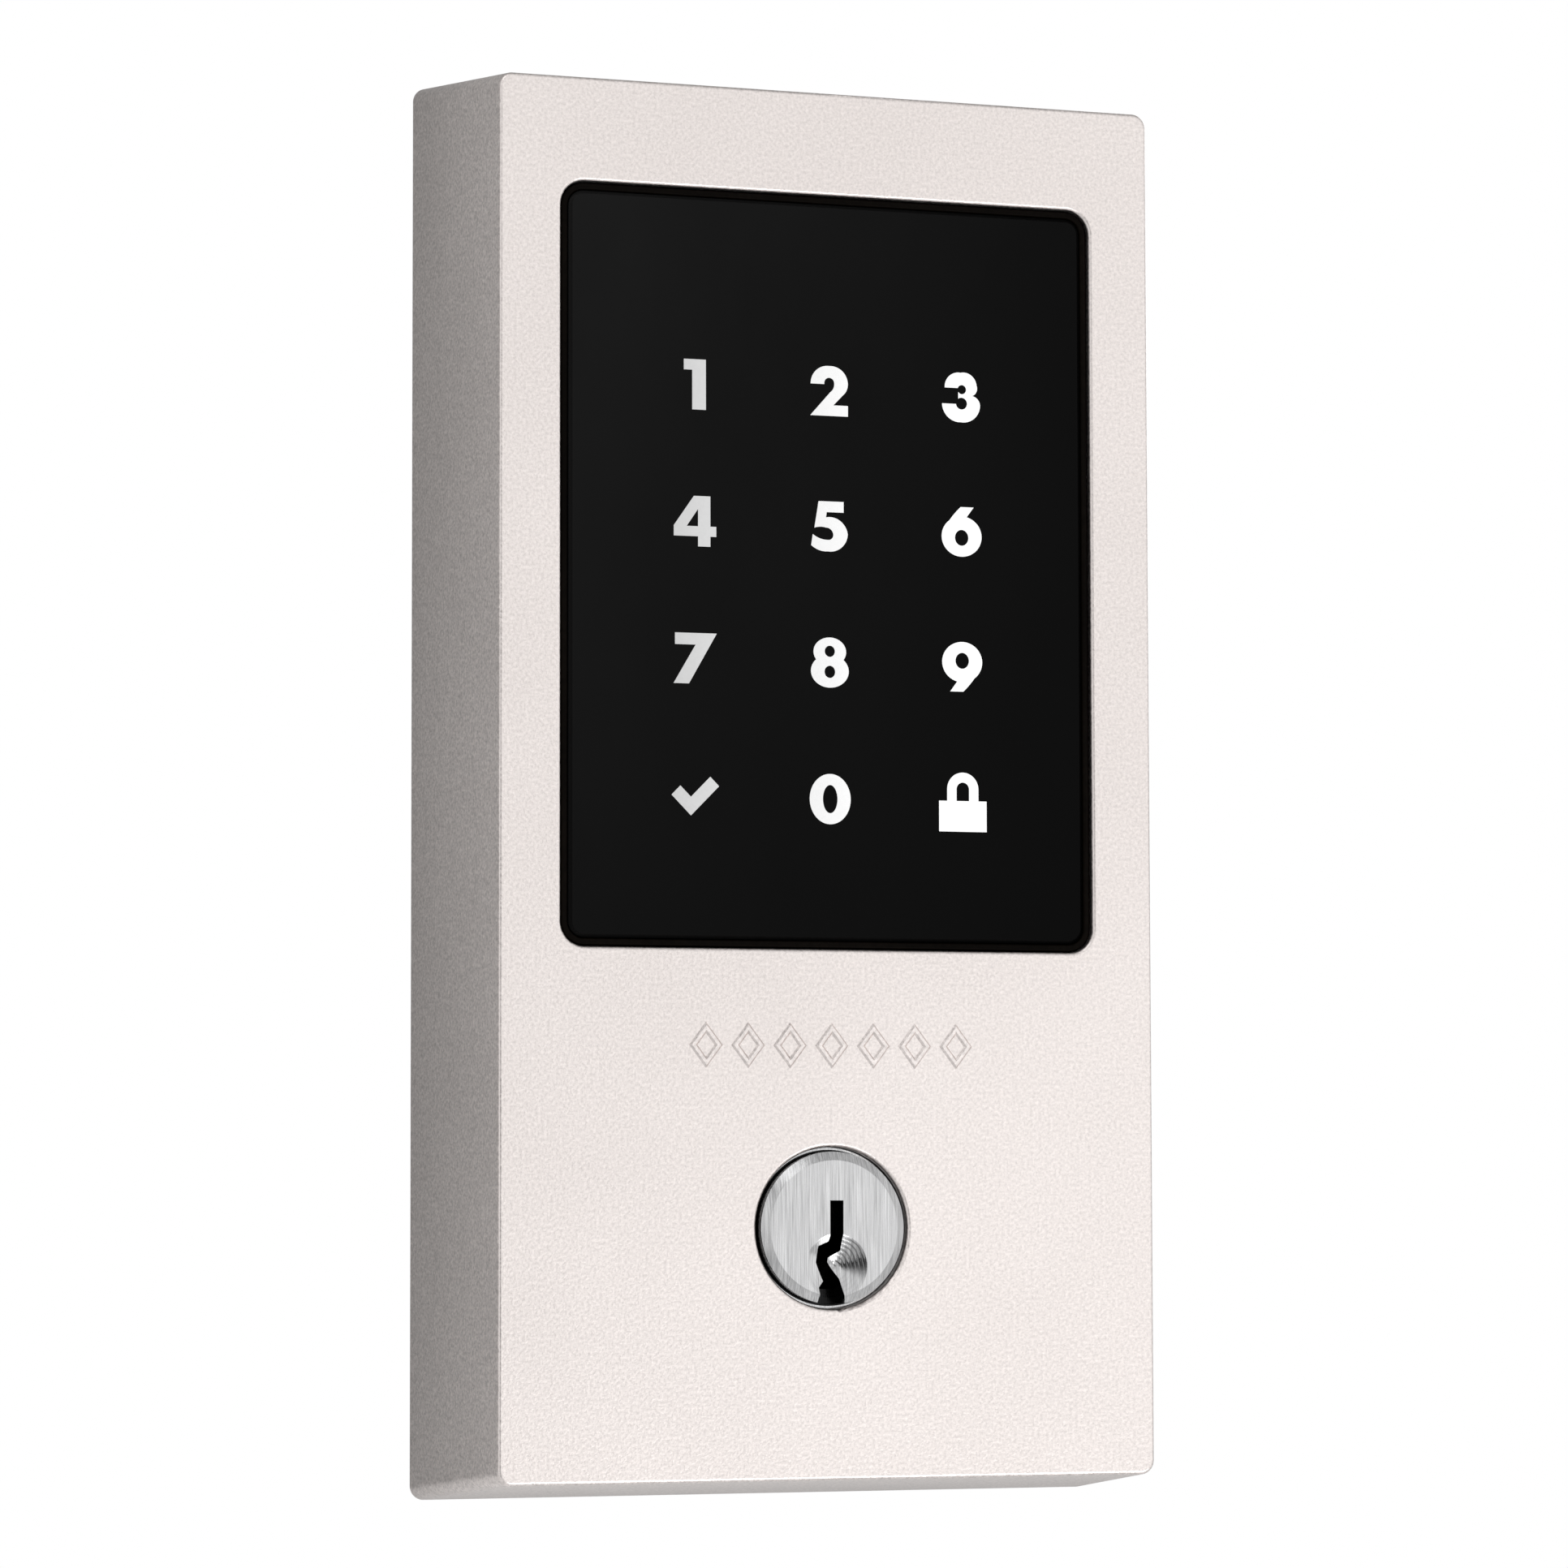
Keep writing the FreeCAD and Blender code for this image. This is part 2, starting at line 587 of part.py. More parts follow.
def front_housing():
    """Die-cast shell, open at the back, with bosses for its screws."""
    body = new_body("front_housing")
    spread = "2 * dim.draft"
    rim = rectangle_at(
        body, "rim", "dim.rim_gap", f"dim.plate_width + {spread}", f"dim.plate_height + {spread}",
        "dim.corner", MIDDLE,
    )
    face = rectangle_at(body, "face", FRONT, "dim.plate_width", "dim.plate_height", "dim.corner", MIDDLE)
    loft(body, "outside", "AdditiveLoft", rim, face)
    dress(body, "front_edge", "Fillet", "dim.edge_round", lambda e: at_depth(e, FRONT))
    walls = "2 * dim.wall"
    inner_corner = "dim.corner - dim.wall / 2"
    rim_inside = rectangle_at(
        body, "rim_inside", "dim.rim_gap", f"dim.plate_width + {spread} - {walls}",
        f"dim.plate_height + {spread} - {walls}", inner_corner, MIDDLE,
    )
    face_inside = rectangle_at(
        body, "face_inside", WALL_BACK, f"dim.plate_width - {walls}", f"dim.plate_height - {walls}",
        inner_corner, MIDDLE,
    )
    loft(body, "cavity", "SubtractiveLoft", rim_inside, face_inside)
    opening = rectangle_at(
        body, "opening", FRONT, "dim.opening_width", "dim.opening_height", "dim.opening_corner",
        "dim.opening_z",
    )
    pocket(body, "keypad_opening", opening, "dim.wall")
    hole = new_sketch(body, "hole", FRONT)
    draw_circle(hole, "dim.nose_hole")
    pocket(body, "cylinder_hole", hole, "dim.wall")
    side = value("dim.plate_width / 2 - 2 * dim.edge_round")
    low = value("2 * dim.edge_round - dim.axis_height")
    high = value("dim.plate_height - dim.axis_height - 2 * dim.edge_round")
    dress(
        body, "lips", "Fillet", "dim.lip_round",
        lambda e: at_depth(e, FRONT) and within(e, side, low, high),
    )
    bosses = new_sketch(body, "bosses", PLATE_FRONT)
    for x, z in PLATE_SCREWS:
        draw_circle(bosses, "dim.boss_radius", x, z)
    pad(body, "plate_bosses", bosses, f"{WALL_BACK} - ({PLATE_FRONT})")
    ears = new_sketch(body, "ear_bosses", "dim.ear_back + dim.ear_thick")
    for x, z in COVER_SCREWS:
        draw_circle(ears, "dim.cover_boss", x, z)
    pad(body, "cover_bosses", ears, f"{WALL_BACK} - (dim.ear_back + dim.ear_thick)")
    yoke = new_sketch(body, "yoke_bosses", SHOULDER_BACK)
    for x, z in YOKE_SCREWS:
        draw_circle(yoke, "dim.yoke_boss", x, z)
    pad(body, "cylinder_bosses", yoke, "dim.shoulder_thick")
    for name, depth, places, length in (
        ("plate_holes", PLATE_FRONT, PLATE_SCREWS, "dim.screw_length"),
        ("cover_holes", "dim.ear_back + dim.ear_thick", COVER_SCREWS, "dim.cover_hole"),
        ("yoke_holes", SHOULDER_BACK, YOKE_SCREWS, "dim.shoulder_thick + dim.wall / 2"),
    ):
        sketch = new_sketch(body, name + "_sketch", depth)
        for x, z in places:
            draw_circle(sketch, "dim.screw_radius", x, z)
        pocket(body, name, sketch, length, towards_front=True)
    raise_ornament(body)
    return body


def raise_ornament(body):
    """A row of raised lozenges, each a closed line."""
    first = "-(dim.ornament_count - 1) / 2 * dim.ornament_pitch"
    sketch = new_sketch(body, "lozenge", FRONT, x=first, z="dim.ornament_z")
    lean = "dim.ornament_height / dim.ornament_width"
    for inset in ("0", "dim.ornament_stroke"):
        half_w = f"(dim.ornament_width / 2 - {inset})"
        half_h = f"({half_w} * {lean})"
        draw_profile(
            sketch,
            [(half_w, "0"), ("0", half_h), (f"-{half_w}", "0"), ("0", f"-{half_h}")],
        )
    line = pad(body, "lozenge_line", sketch, "dim.ornament_rise")
    row = body.newObject("PartDesign::LinearPattern", "lozenges")
    row.Originals = [line]
    row.Direction = (sketch, ["H_Axis"])
    bind(
        row,
        Length="(dim.ornament_count - 1) * dim.ornament_pitch",
        Occurrences="dim.ornament_count",
    )
    body.Tip = row
    top = f"{FRONT} + dim.ornament_rise"
    dress(body, "lozenge_edges", "Chamfer", "dim.ornament_chamfer", lambda e: at_depth(e, top))


# ---------------------------------------------------------------------------------------------------
# Keypad
# ---------------------------------------------------------------------------------------------------


def keypad_seal():
    """Foam ring between the carrier's flange and the front wall."""
    body = new_body("keypad_seal")
    ring = new_sketch(body, "ring", FLANGE_FRONT, z="dim.opening_z")
    draw_rounded_rectangle(
        ring, f"{FLANGE_WIDTH} - 2 * dim.seal_trim", f"{FLANGE_HEIGHT} - 2 * dim.seal_trim",
        "dim.flange_corner",
    )
    draw_rounded_rectangle(
        ring, "dim.opening_width + 2 * dim.seal_clearance", "dim.opening_height + 2 * dim.seal_clearance",
        "dim.opening_corner",
    )
    pad(body, "ring_pad", ring, "dim.seal_thick")


def keypad_carrier():
    """Black frame: a flange behind the front wall, a bezel in the opening and a shelf for the glass."""
    body = new_body("keypad_carrier")
    z = "dim.opening_z"
    flange = rectangle_at(
        body, "flange", FLANGE_BACK, FLANGE_WIDTH, FLANGE_HEIGHT, "dim.flange_corner", z
    )
    pad(body, "flange_pad", flange, "dim.flange_thick")
    bezel = rectangle_at(
        body, "bezel", FLANGE_FRONT, "dim.opening_width - 2 * dim.bezel_gap",
        "dim.opening_height - 2 * dim.bezel_gap", "dim.opening_corner - dim.bezel_gap", z,
    )
    pad(body, "bezel_pad", bezel, f"{FRONT} - dim.bezel_recess - ({FLANGE_FRONT})")
    seat = rectangle_at(
        body, "seat", FRONT, f"{GLASS_WIDTH} + 2 * dim.glass_gap", f"{GLASS_HEIGHT} + 2 * dim.glass_gap",
        f"{GLASS_CORNER} + dim.glass_gap", z,
    )
    pocket(body, "glass_seat", seat, f"{FRONT} - ({SHELF_FRONT})")
    window = rectangle_at(body, "window", FRONT, WINDOW_WIDTH, WINDOW_HEIGHT, "dim.window_corner", z)
    pocket(body, "light_window", window, f"{FRONT} - ({FLANGE_BACK})")
    holes = new_sketch(body, "board_holes", FLANGE_BACK)
    for x, hole_z in BOARD_SCREWS:
        draw_circle(holes, "dim.small_screw_radius", x, hole_z)
    pocket(body, "board_screw_holes", holes, "dim.board_screw_hole", towards_front=True)
    bezel_front = f"{FRONT} - dim.bezel_recess"
    dress(body, "bezel_rounds", "Fillet", "dim.bezel_round", lambda e: at_depth(e, bezel_front))


def touch_glass():
    """Glass lens with a bevelled front edge."""
    body = new_body("touch_glass")
    lens = rectangle_at(body, "lens", GLASS_BACK, GLASS_WIDTH, GLASS_HEIGHT, GLASS_CORNER, "dim.opening_z")
    pad(body, "lens_pad", lens, "dim.glass_thick")
    dress(body, "bevel", "Chamfer", "dim.glass_bevel", lambda e: at_depth(e, GLASS_FRONT))


def lens_tape():
    """Adhesive ring that holds the glass on the carrier's shelf."""
    body = new_body("lens_tape")
    ring = new_sketch(body, "ring", SHELF_FRONT, z="dim.opening_z")
    trim = "2 * dim.tape_trim"
    spread = "2 * dim.tape_clearance"
    draw_rounded_rectangle(ring, f"{GLASS_WIDTH} - {trim}", f"{GLASS_HEIGHT} - {trim}", GLASS_CORNER)
    draw_rounded_rectangle(
        ring, f"{WINDOW_WIDTH} + {spread}", f"{WINDOW_HEIGHT} + {spread}", "dim.window_corner"
    )
    pad(body, "ring_pad", ring, "dim.tape_thick")


def light_guide():
    """Diffuser that spreads the light of the LEDs behind the symbols."""
    body = new_body("light_guide")
    plate = rectangle_at(
        body, "plate", f"{GLASS_BACK} - dim.guide_back_gap - dim.guide_thick",
        f"{WINDOW_WIDTH} - 2 * dim.guide_gap", f"{WINDOW_HEIGHT} - 2 * dim.guide_gap",
        "dim.window_corner", "dim.opening_z",
    )
    pad(body, "plate_pad", plate, "dim.guide_thick")


def keypad_board():
    """Circuit board with the touch pads, screwed to the carrier."""
    body = new_body("keypad_board")
    board = rectangle_at(
        body, "board", BOARD_BACK, "dim.board_width", "dim.board_height", "dim.board_corner",
        "dim.opening_z",
    )
    pad(body, "board_pad", board, "dim.board_thick")
    holes = new_sketch(body, "holes", BOARD_BACK)
    for x, z in BOARD_SCREWS:
        draw_circle(holes, "dim.small_screw_radius + dim.board_screw_gap", x, z)
    pocket(body, "screw_holes", holes, "dim.board_thick", towards_front=True)


def backlight_leds():
    """One LED behind each symbol."""
    leds = []
    for index, (x, z) in enumerate(KEY_CENTRES):
        front = f"{FLANGE_BACK} + dim.led_thick"
        leds.append(block(f"led_{index}", "dim.led_length", "dim.led_width", FLANGE_BACK, front, x, z))
    keep(group("backlight_led_group", leds), "backlight_leds")


def touch_controller():
    """Flat square chip on the back of the board."""
    chip = block(
        "chip", "dim.chip_side", "dim.chip_side", f"{BOARD_BACK} - dim.chip_thick", BOARD_BACK,
        "dim.chip_x", "dim.opening_z + dim.chip_z",
    )
    keep(chip, "touch_controller")


def processor_module():
    """Small shielded module on the back of the board."""
    can = block(
        "can", "dim.can_width", "dim.can_height", f"{BOARD_BACK} - dim.can_thick", BOARD_BACK,
        "dim.can_x", "dim.opening_z + dim.can_z",
    )
    keep(can, "processor_module")


def buzzer():
    """Round sounder with a hole in its top."""
    x = "dim.buzzer_x"
    z = "dim.opening_z + dim.buzzer_z"
    back = f"{BOARD_BACK} - dim.buzzer_thick"
    case = rod("buzzer_case", "dim.buzzer_radius", back, BOARD_BACK, x, z)
    hole = rod("buzzer_port", "dim.buzzer_hole", f"{back} - dim.over", f"{back} + dim.buzzer_hole", x, z)
    keep(cut("buzzer_body", case, hole), "buzzer")


def harness_socket():
    """Socket for the plug of the cable to the inside of the door. It opens downwards."""
    z = "dim.opening_z + dim.socket_z"
    back = f"{BOARD_BACK} - dim.socket_thick"
    outer = block("socket_outer", "dim.socket_width", "dim.socket_height", back, BOARD_BACK, "0", z)
    inner = block(
        "socket_inner", "dim.socket_width - 2 * dim.socket_wall", "dim.socket_height",
        f"{back} + dim.socket_wall", f"{BOARD_BACK} - dim.socket_wall", "0", f"{z} - dim.socket_end",
    )
    keep(cut("socket_shell", outer, inner), "harness_socket")


def socket_pins():
    """Row of contacts in the harness socket, from its closed end."""
    pins = []
    count = int(value("dim.contact_count"))
    middle = f"{BOARD_BACK} - dim.socket_thick / 2"
    back = f"{middle} - dim.contact_side / 2"
    front = f"{middle} + dim.contact_side / 2"
    top = "dim.opening_z + dim.socket_z + dim.socket_height / 2 - dim.socket_end"
    for index in range(count):
        x = f"({index} - (dim.contact_count - 1) / 2) * dim.contact_pitch"
        z = f"{top} - dim.contact_length / 2"
        pins.append(block(f"contact_{index}", "dim.contact_side", "dim.contact_length", back, front, x, z))
    keep(group("socket_pin_group", pins), "socket_pins")


def capacitors():
    """Two radial capacitors on the back of the board."""
    cans = []
    back = f"{BOARD_BACK} - dim.capacitor_length"
    for side in (-1, 1):
        x = f"dim.capacitor_x + {side} * dim.capacitor_pitch / 2"
        z = "dim.opening_z + dim.capacitor_z"
        cans.append(rod(f"capacitor_{side + 1}", "dim.capacitor_radius", back, BOARD_BACK, x, z))
    keep(group("capacitor_group", cans), "capacitors")


def board_screws():
    """Pan-head screws that hold the board to the carrier."""
    screws = []
    for index, (x, z) in enumerate(BOARD_SCREWS):
        head = rod(
            f"board_head_{index}", "dim.small_screw_head", f"{BOARD_BACK} - dim.small_head_thick",
            BOARD_BACK, x, z,
        )
        shank = rod(
            f"board_shank_{index}", "dim.small_screw_radius", BOARD_BACK,
            f"{FLANGE_BACK} + dim.board_screw_reach", x, z,
        )
        screws.append(fuse(f"board_screw_{index}", [head, shank]))
    keep(group("board_screw_group", screws), "board_screws")


def keypad_rear_cover():
    """Tray over the back of the board, with four ears that rest on the housing's bosses."""
    body = new_body("keypad_rear_cover")
    z = "dim.opening_z"
    width = f"{FLANGE_WIDTH} - 2 * dim.cover_side"
    height = f"{FLANGE_HEIGHT} - 2 * dim.cover_side"
    outer = rectangle_at(body, "outer", "dim.cover_back", width, height, "dim.cover_corner", z)
    pad(body, "tray", outer, f"{FLANGE_BACK} - dim.cover_back")
    for side, name in ((-1, "left"), (1, "right")):
        ears = new_sketch(body, f"{name}_ears", "dim.ear_back", x=f"{side} * dim.ear_x", z=z)
        draw_rounded_rectangle(
            ears, "2 * dim.ear_radius", "2 * (dim.ear_z + dim.ear_radius)", "dim.ear_corner"
        )
        pad(body, f"{name}_ear_pads", ears, "dim.ear_thick")
    inner = rectangle_at(
        body, "inner", FLANGE_BACK, f"{width} - 2 * dim.cover_wall", f"{height} - 2 * dim.cover_wall",
        "dim.cover_corner - dim.cover_wall", z,
    )
    pocket(body, "inside", inner, f"{FLANGE_BACK} - dim.cover_back - dim.cover_wall")
    holes = new_sketch(body, "holes", "dim.ear_back")
    for x, ear_z in COVER_SCREWS:
        draw_circle(holes, "dim.screw_radius + dim.screw_clearance", x, ear_z)
    pocket(body, "ear_holes", holes, "dim.ear_thick", towards_front=True)
    slot = rectangle_at(
        body, "cable_slot", "dim.cover_back", "dim.slot_width", "dim.slot_height", "dim.slot_corner",
        f"{z} - dim.slot_drop",
    )
    pocket(body, "cable_exit", slot, "dim.slot_reach", towards_front=True)


def pan_screws(name, places, back, length):
    """Pan-head M3 screws whose heads sit on the plane at the depth back, pointing to the front."""
    screws = []
    outside = f"{back} - dim.screw_head_thick"
    for index, (x, z) in enumerate(places):
        head = rod(f"{name}_head_{index}", "dim.screw_head", outside, back, x, z)
        shank = rod(f"{name}_shank_{index}", "dim.screw_radius", back, f"{back} + {length}", x, z)
        recess = rod(
            f"{name}_recess_{index}", "dim.recess_radius", outside, f"{outside} + dim.recess_depth", x, z
        )
        whole = fuse(f"{name}_whole_{index}", [head, shank])
        screws.append(cut(f"{name}_{index}", whole, recess))
    keep(group(f"{name}_group", screws), name)


# ---------------------------------------------------------------------------------------------------
# Symbols. Each outline is in units of the symbol's height, from its lower left corner.
# ---------------------------------------------------------------------------------------------------


def outline(start, steps):
    """A closed face. A step of two numbers is a straight line, one of four an arc by a point on it."""
    edges = []
    here = Vector(start[0], 0, start[1])
    for step in list(steps) + [start]:
        there = Vector(step[-2], 0, step[-1])
        if len(step) == 4:
            edges.append(Part.Arc(here, Vector(step[0], 0, step[1]), there).toShape())
        elif here.distanceToPoint(there) > 1e-9:
            edges.append(Part.LineSegment(here, there).toShape())
        here = there
    return Part.Face(Part.Wire(edges))


def oval(x, z, half_width, half_height):
    """An upright or level ellipse as a face."""
    level = half_width >= half_height
    major = Vector(half_width, 0, 0) if level else Vector(0, 0, half_height)
    minor = Vector(0, 0, half_height) if level else Vector(half_width, 0, 0)
    centre = Vector(x, 0, z)
    if abs(half_width - half_height) < 1e-9:
        curve = Part.Circle(centre, Vector(0, 1, 0), half_width)
    else:
        curve = Part.Ellipse(centre + major, centre + minor, centre)
    return Part.Face(Part.Wire(curve.toShape()))


def digit_one():
    return outline((0.175, 0), [(0.46, 0), (0.46, 1), (0, 1), (0, 0.79), (0.175, 0.79)])


def digit_two():
    return outline(
        (0, 0),
        [
            (0.8, 0), (0.8, 0.215), (0.49, 0.215), (0.69, 0.42), (0.775, 0.53, 0.8, 0.66),
            (0.68, 0.91, 0.41, 1), (0.12, 0.9, 0.01, 0.635), (0.3, 0.635),
            (0.41, 0.765, 0.51, 0.66), (0.5, 0.57, 0.43, 0.48),
        ],
    )


def digit_three():
    return outline(
        (0.07, 0.69),
        [
            (0.35, 0.69), (0.475, 0.745, 0.36, 0.61), (0.36, 0.475), (0.548, 0.36, 0.31, 0.366),
            (0.01, 0.366), (0.13, 0.1, 0.415, 0), (0.72, 0.1, 0.826, 0.3),
            (0.795, 0.455, 0.66, 0.54), (0.75, 0.62, 0.757, 0.75), (0.66, 0.94, 0.41, 1),
            (0.16, 0.92, 0.07, 0.69),
        ],
    )


def digit_four():
    whole = outline(
        (0.507, 0),
        [
            (0.763, 0), (0.763, 0.2), (0.886, 0.2), (0.886, 0.4), (0.763, 0.4), (0.763, 1),
            (0.42, 1), (0, 0.405), (0, 0.2), (0.507, 0.2),
        ],
    )
    return whole.cut(outline((0.27, 0.4), [(0.507, 0.4), (0.507, 0.745)]))


def digit_five():
    return outline(
        (0.16, 1),
        [
            (0.69, 1), (0.69, 0.785), (0.33, 0.785), (0.315, 0.68), (0.64, 0.6, 0.777, 0.35),
            (0.65, 0.09, 0.36, 0), (0.17, 0.02, 0, 0.115), (0.035, 0.335),
            (0.2, 0.25, 0.36, 0.23), (0.45, 0.27, 0.47, 0.345), (0.43, 0.43, 0.32, 0.475),
            (0.2, 0.49, 0.07, 0.465),
        ],
    )


def digit_six():
    ring = oval(0.43, 0.405, 0.43, 0.405)
    tail = outline((0.06, 0.56), [(0.42, 0.64), (0.69, 1), (0.41, 1), (0.2, 0.77, 0.06, 0.56)])
    return ring.fuse(tail).removeSplitter().cut(oval(0.43, 0.38, 0.145, 0.16))


def digit_seven():
    return outline((0, 0), [(0.32, 0), (0.9, 1), (0.03, 1), (0.03, 0.77), (0.46, 0.77)])


def digit_eight():
    upper = oval(0.4, 0.715, 0.345, 0.285)
    lower = oval(0.4, 0.33, 0.4, 0.33)
    counters = oval(0.4, 0.725, 0.108, 0.112).fuse(oval(0.4, 0.315, 0.113, 0.122))
    return upper.fuse(lower).removeSplitter().cut(counters)


def digit_nine():
    shape = digit_six()
    shape.rotate(Vector(0.43, 0, 0.5), Vector(0, 1, 0), 180)
    return shape


def digit_zero():
    return oval(0.433, 0.5, 0.433, 0.5).cut(oval(0.433, 0.5, 0.155, 0.28))


def tick():
    """Two strokes of equal width that meet at a right angle."""
    stroke = 0.26
    short = 0.31
    long = 0.83
    shape = outline(
        (0, 0), [(short + stroke, 0), (short + stroke, long), (short, long), (short, stroke), (0, stroke)]
    )
    shape.rotate(Vector(), Vector(0, 1, 0), 45)
    return shape


def padlock():
    """Body, and a shackle that is an arch on two legs."""
    width = 1.02
    body = 0.615
    middle = width / 2
    outer = 0.335
    inner = 0.135
    legs = body + 0.235
    arch = outline(
        (middle - outer, body - 0.1),
        [
            (middle + outer, body - 0.1), (middle + outer, legs),
            (middle, legs + outer, middle - outer, legs),
        ],
    )
    gap = outline(
        (middle - inner, body),
        [(middle + inner, body), (middle + inner, legs), (middle, legs + inner, middle - inner, legs)],
    )
    case = outline((0, 0), [(width, 0), (width, body), (0, body)])
    return case.fuse(arch).removeSplitter().cut(gap)


SYMBOLS = (
    digit_one, digit_two, digit_three,
    digit_four, digit_five, digit_six,
    digit_seven, digit_eight, digit_nine,
    tick, digit_zero, padlock,
)


def key_symbols():
    """Printed symbols, each a thin solid centred on its key and lying on the glass."""
    solids = []
    for symbol, (x, z) in zip(SYMBOLS, KEY_CENTRES):
        shape = symbol()
        shape.scale(value("dim.symbol_height"))
        box = shape.BoundBox
        shape.translate(
            Vector(
                value(x) - (box.XMin + box.XMax) / 2,
                -value(GLASS_FRONT),
                value(z) - (box.ZMin + box.ZMax) / 2,
            )
        )
        for face in shape.Faces:
            solids.append(face.extrude(Vector(0, -value("dim.ink_thick"), 0)))
    item = doc.addObject("Part::Feature", "symbol_solids")
    item.Shape = Part.makeCompound(solids)
    keep(item, "key_symbols")


# ---------------------------------------------------------------------------------------------------
# Lock cylinder
# ---------------------------------------------------------------------------------------------------


def half_section(body, name, corners):
    """A closed section on the YZ plane. Corners are pairs of depth and radius expressions."""
    sketch = new_sketch(body, name, role=YZ)
    draw_profile(sketch, [(f"-({depth})", radius) for depth, radius in corners])
    return sketch


def cylinder_body():
    """Fixed part of the lock cylinder: nose, shoulder, barrel and the tower with the pin chambers."""
    body = new_body("cylinder_body")
    counterbore = f"{HEAD_BACK} - dim.plug_clearance"
    section = half_section(
        body,
        "section",
        [
            (NOSE_FRONT, "dim.head_radius + dim.plug_clearance"),
            (NOSE_FRONT, "dim.nose_radius"),
            (WALL_BACK, "dim.nose_radius"),
            (WALL_BACK, "dim.shoulder_radius"),
            (SHOULDER_BACK, "dim.shoulder_radius"),
            (SHOULDER_BACK, "dim.barrel_radius"),
            ("dim.barrel_back", "dim.barrel_radius"),
            ("dim.barrel_back", BORE_RADIUS),
            (counterbore, BORE_RADIUS),
            (counterbore, "dim.head_radius + dim.plug_clearance"),
        ],
    )
    turn(body, "barrel", "Revolution", section)
    tower = new_sketch(body, "tower", "dim.tower_back", z="(dim.tower_top + dim.tower_foot) / 2")
    draw_rounded_rectangle(tower, "dim.tower_width", "dim.tower_top - dim.tower_foot", "dim.tower_corner")
    pad(body, "tower_pad", tower, f"{SHOULDER_BACK} - dim.tower_back")
    strip = new_sketch(body, "strip_slot", "dim.tower_back")
    foot = "(dim.tower_top - dim.strip_thick)"
    head = "dim.tower_top + dim.over"
    side = "dim.strip_width / 2"
    draw_profile(strip, [(f"-{side}", foot), (side, foot), (side, head), (f"-{side}", head)])
    pocket(body, "strip_slot_cut", strip, f"{STRIP_FRONT} - dim.tower_back", towards_front=True)
    drill_chambers(body, "dim.tower_top", BORE_RADIUS)


def drill_chambers(body, top, floor):
    """Round pin chambers, straight down from one height to another."""
    plane = next(f for f in body.Origin.OriginFeatures if f.Role == "XY_Plane")
    chambers = body.newObject("Sketcher::SketchObject", "chambers")
    chambers.AttachmentSupport = [(plane, "")]
    chambers.MapMode = "FlatFace"
    bind(chambers, AttachmentOffset__Base__z=f"{top} + dim.over")
    for depth in PIN_DEPTHS:
        draw_circle(chambers, "dim.chamber_radius", "0", f"-({depth})")
    pocket(body, "chamber_cut", chambers, f"{top} + dim.over - ({floor})")


def cylinder_plug():
    """Turning part of the cylinder, with its head, keyway, pin chambers, clip groove and rear socket."""
    body = new_body("cylinder_plug")
    groove_back = "dim.groove_front - dim.groove_width"
    section = half_section(
        body,
        "section",
        [
            (HEAD_FRONT, "0"),
            (HEAD_FRONT, "dim.head_radius - dim.head_bevel"),
            (f"{HEAD_FRONT} - dim.head_bevel_drop", "dim.head_radius"),
            (HEAD_BACK, "dim.head_radius"),
            (HEAD_BACK, "dim.plug_radius"),
            ("dim.groove_front", "dim.plug_radius"),
            ("dim.groove_front", "dim.groove_radius"),
            (groove_back, "dim.groove_radius"),
            (groove_back, "dim.plug_radius"),
            ("dim.plug_back", "dim.plug_radius"),
            ("dim.plug_back", "dim.socket_radius"),
            ("dim.socket_floor", "dim.socket_radius"),
            ("dim.socket_floor", "0"),
        ],
    )
    turn(body, "plug", "Revolution", section)
    funnel = half_section(
        body,
        "funnel",
        [
            (HEAD_FRONT, "0"),
            (HEAD_FRONT, "dim.funnel_radius"),
            (f"{HEAD_FRONT} - dim.funnel_drop", "0"),
        ],
    )
    bind(
        funnel,
        AttachmentOffset__Base__y="dim.funnel_z",
        AttachmentOffset__Base__z="dim.funnel_x",
    )
    turn(body, "funnel_cut", "Groove", funnel)
    keyway = new_sketch(body, "keyway", HEAD_FRONT)
    draw_profile(keyway, keyway_corners())
    pocket(body, "keyway_cut", keyway, f"{HEAD_FRONT} - dim.keyway_back")
    drill_chambers(body, "dim.plug_radius", "dim.chamber_floor")


def keyway_corners():
    """Outline of the keyway, clockwise from its top left corner, in mm from the plug's axis."""
    left = [(-0.45, 2.86), (-0.45, -0.9), (-0.6, -1.4), (-1.75, -1.9), (-1.95, -3.6), (-1.15, -5.55)]
    foot = [(-1.7, -6.2), (-1.6, -7.0), (-1.85, -8.6), (1.4, -8.6)]
    right = [(1.25, -7.5), (0.72, -5.3), (-0.55, -3.55), (-0.5, -3.1), (0.8, -2.4), (1.02, -0.5)]
    right.append((1.02, 2.86))
    return [(str(x), str(z)) for x, z in left + foot + right]


def pin_pair(index, depth):
    """A key pin in the plug, the driver pin over it, and the driver's spring."""
    length = KEY_PIN_LENGTHS[index]
    foot = f"{KEY_PIN_TOP} - {length}"
    number = index + 1
    shank = upright(
        f"key_pin_shank_{number}", "dim.pin_radius", f"{foot} + dim.pin_point", KEY_PIN_TOP, depth
    )
    point = doc.addObject("Part::Cone", f"key_pin_point_{number}")
    bind(
        point,
        Radius1="dim.pin_radius / 3",
        Radius2="dim.pin_radius",
        Height="dim.pin_point",
        Placement__Base__y=f"-({depth})",
        Placement__Base__z=foot,
    )
    keep(fuse(f"key_pin_{number}_solid", [shank, point]), f"key_pin_{number}")
    driver = upright(f"driver_{number}", "dim.pin_radius", DRIVER_FOOT, DRIVER_TOP, depth)
    keep(driver, f"driver_pin_{number}")
    pin_spring(number, depth)


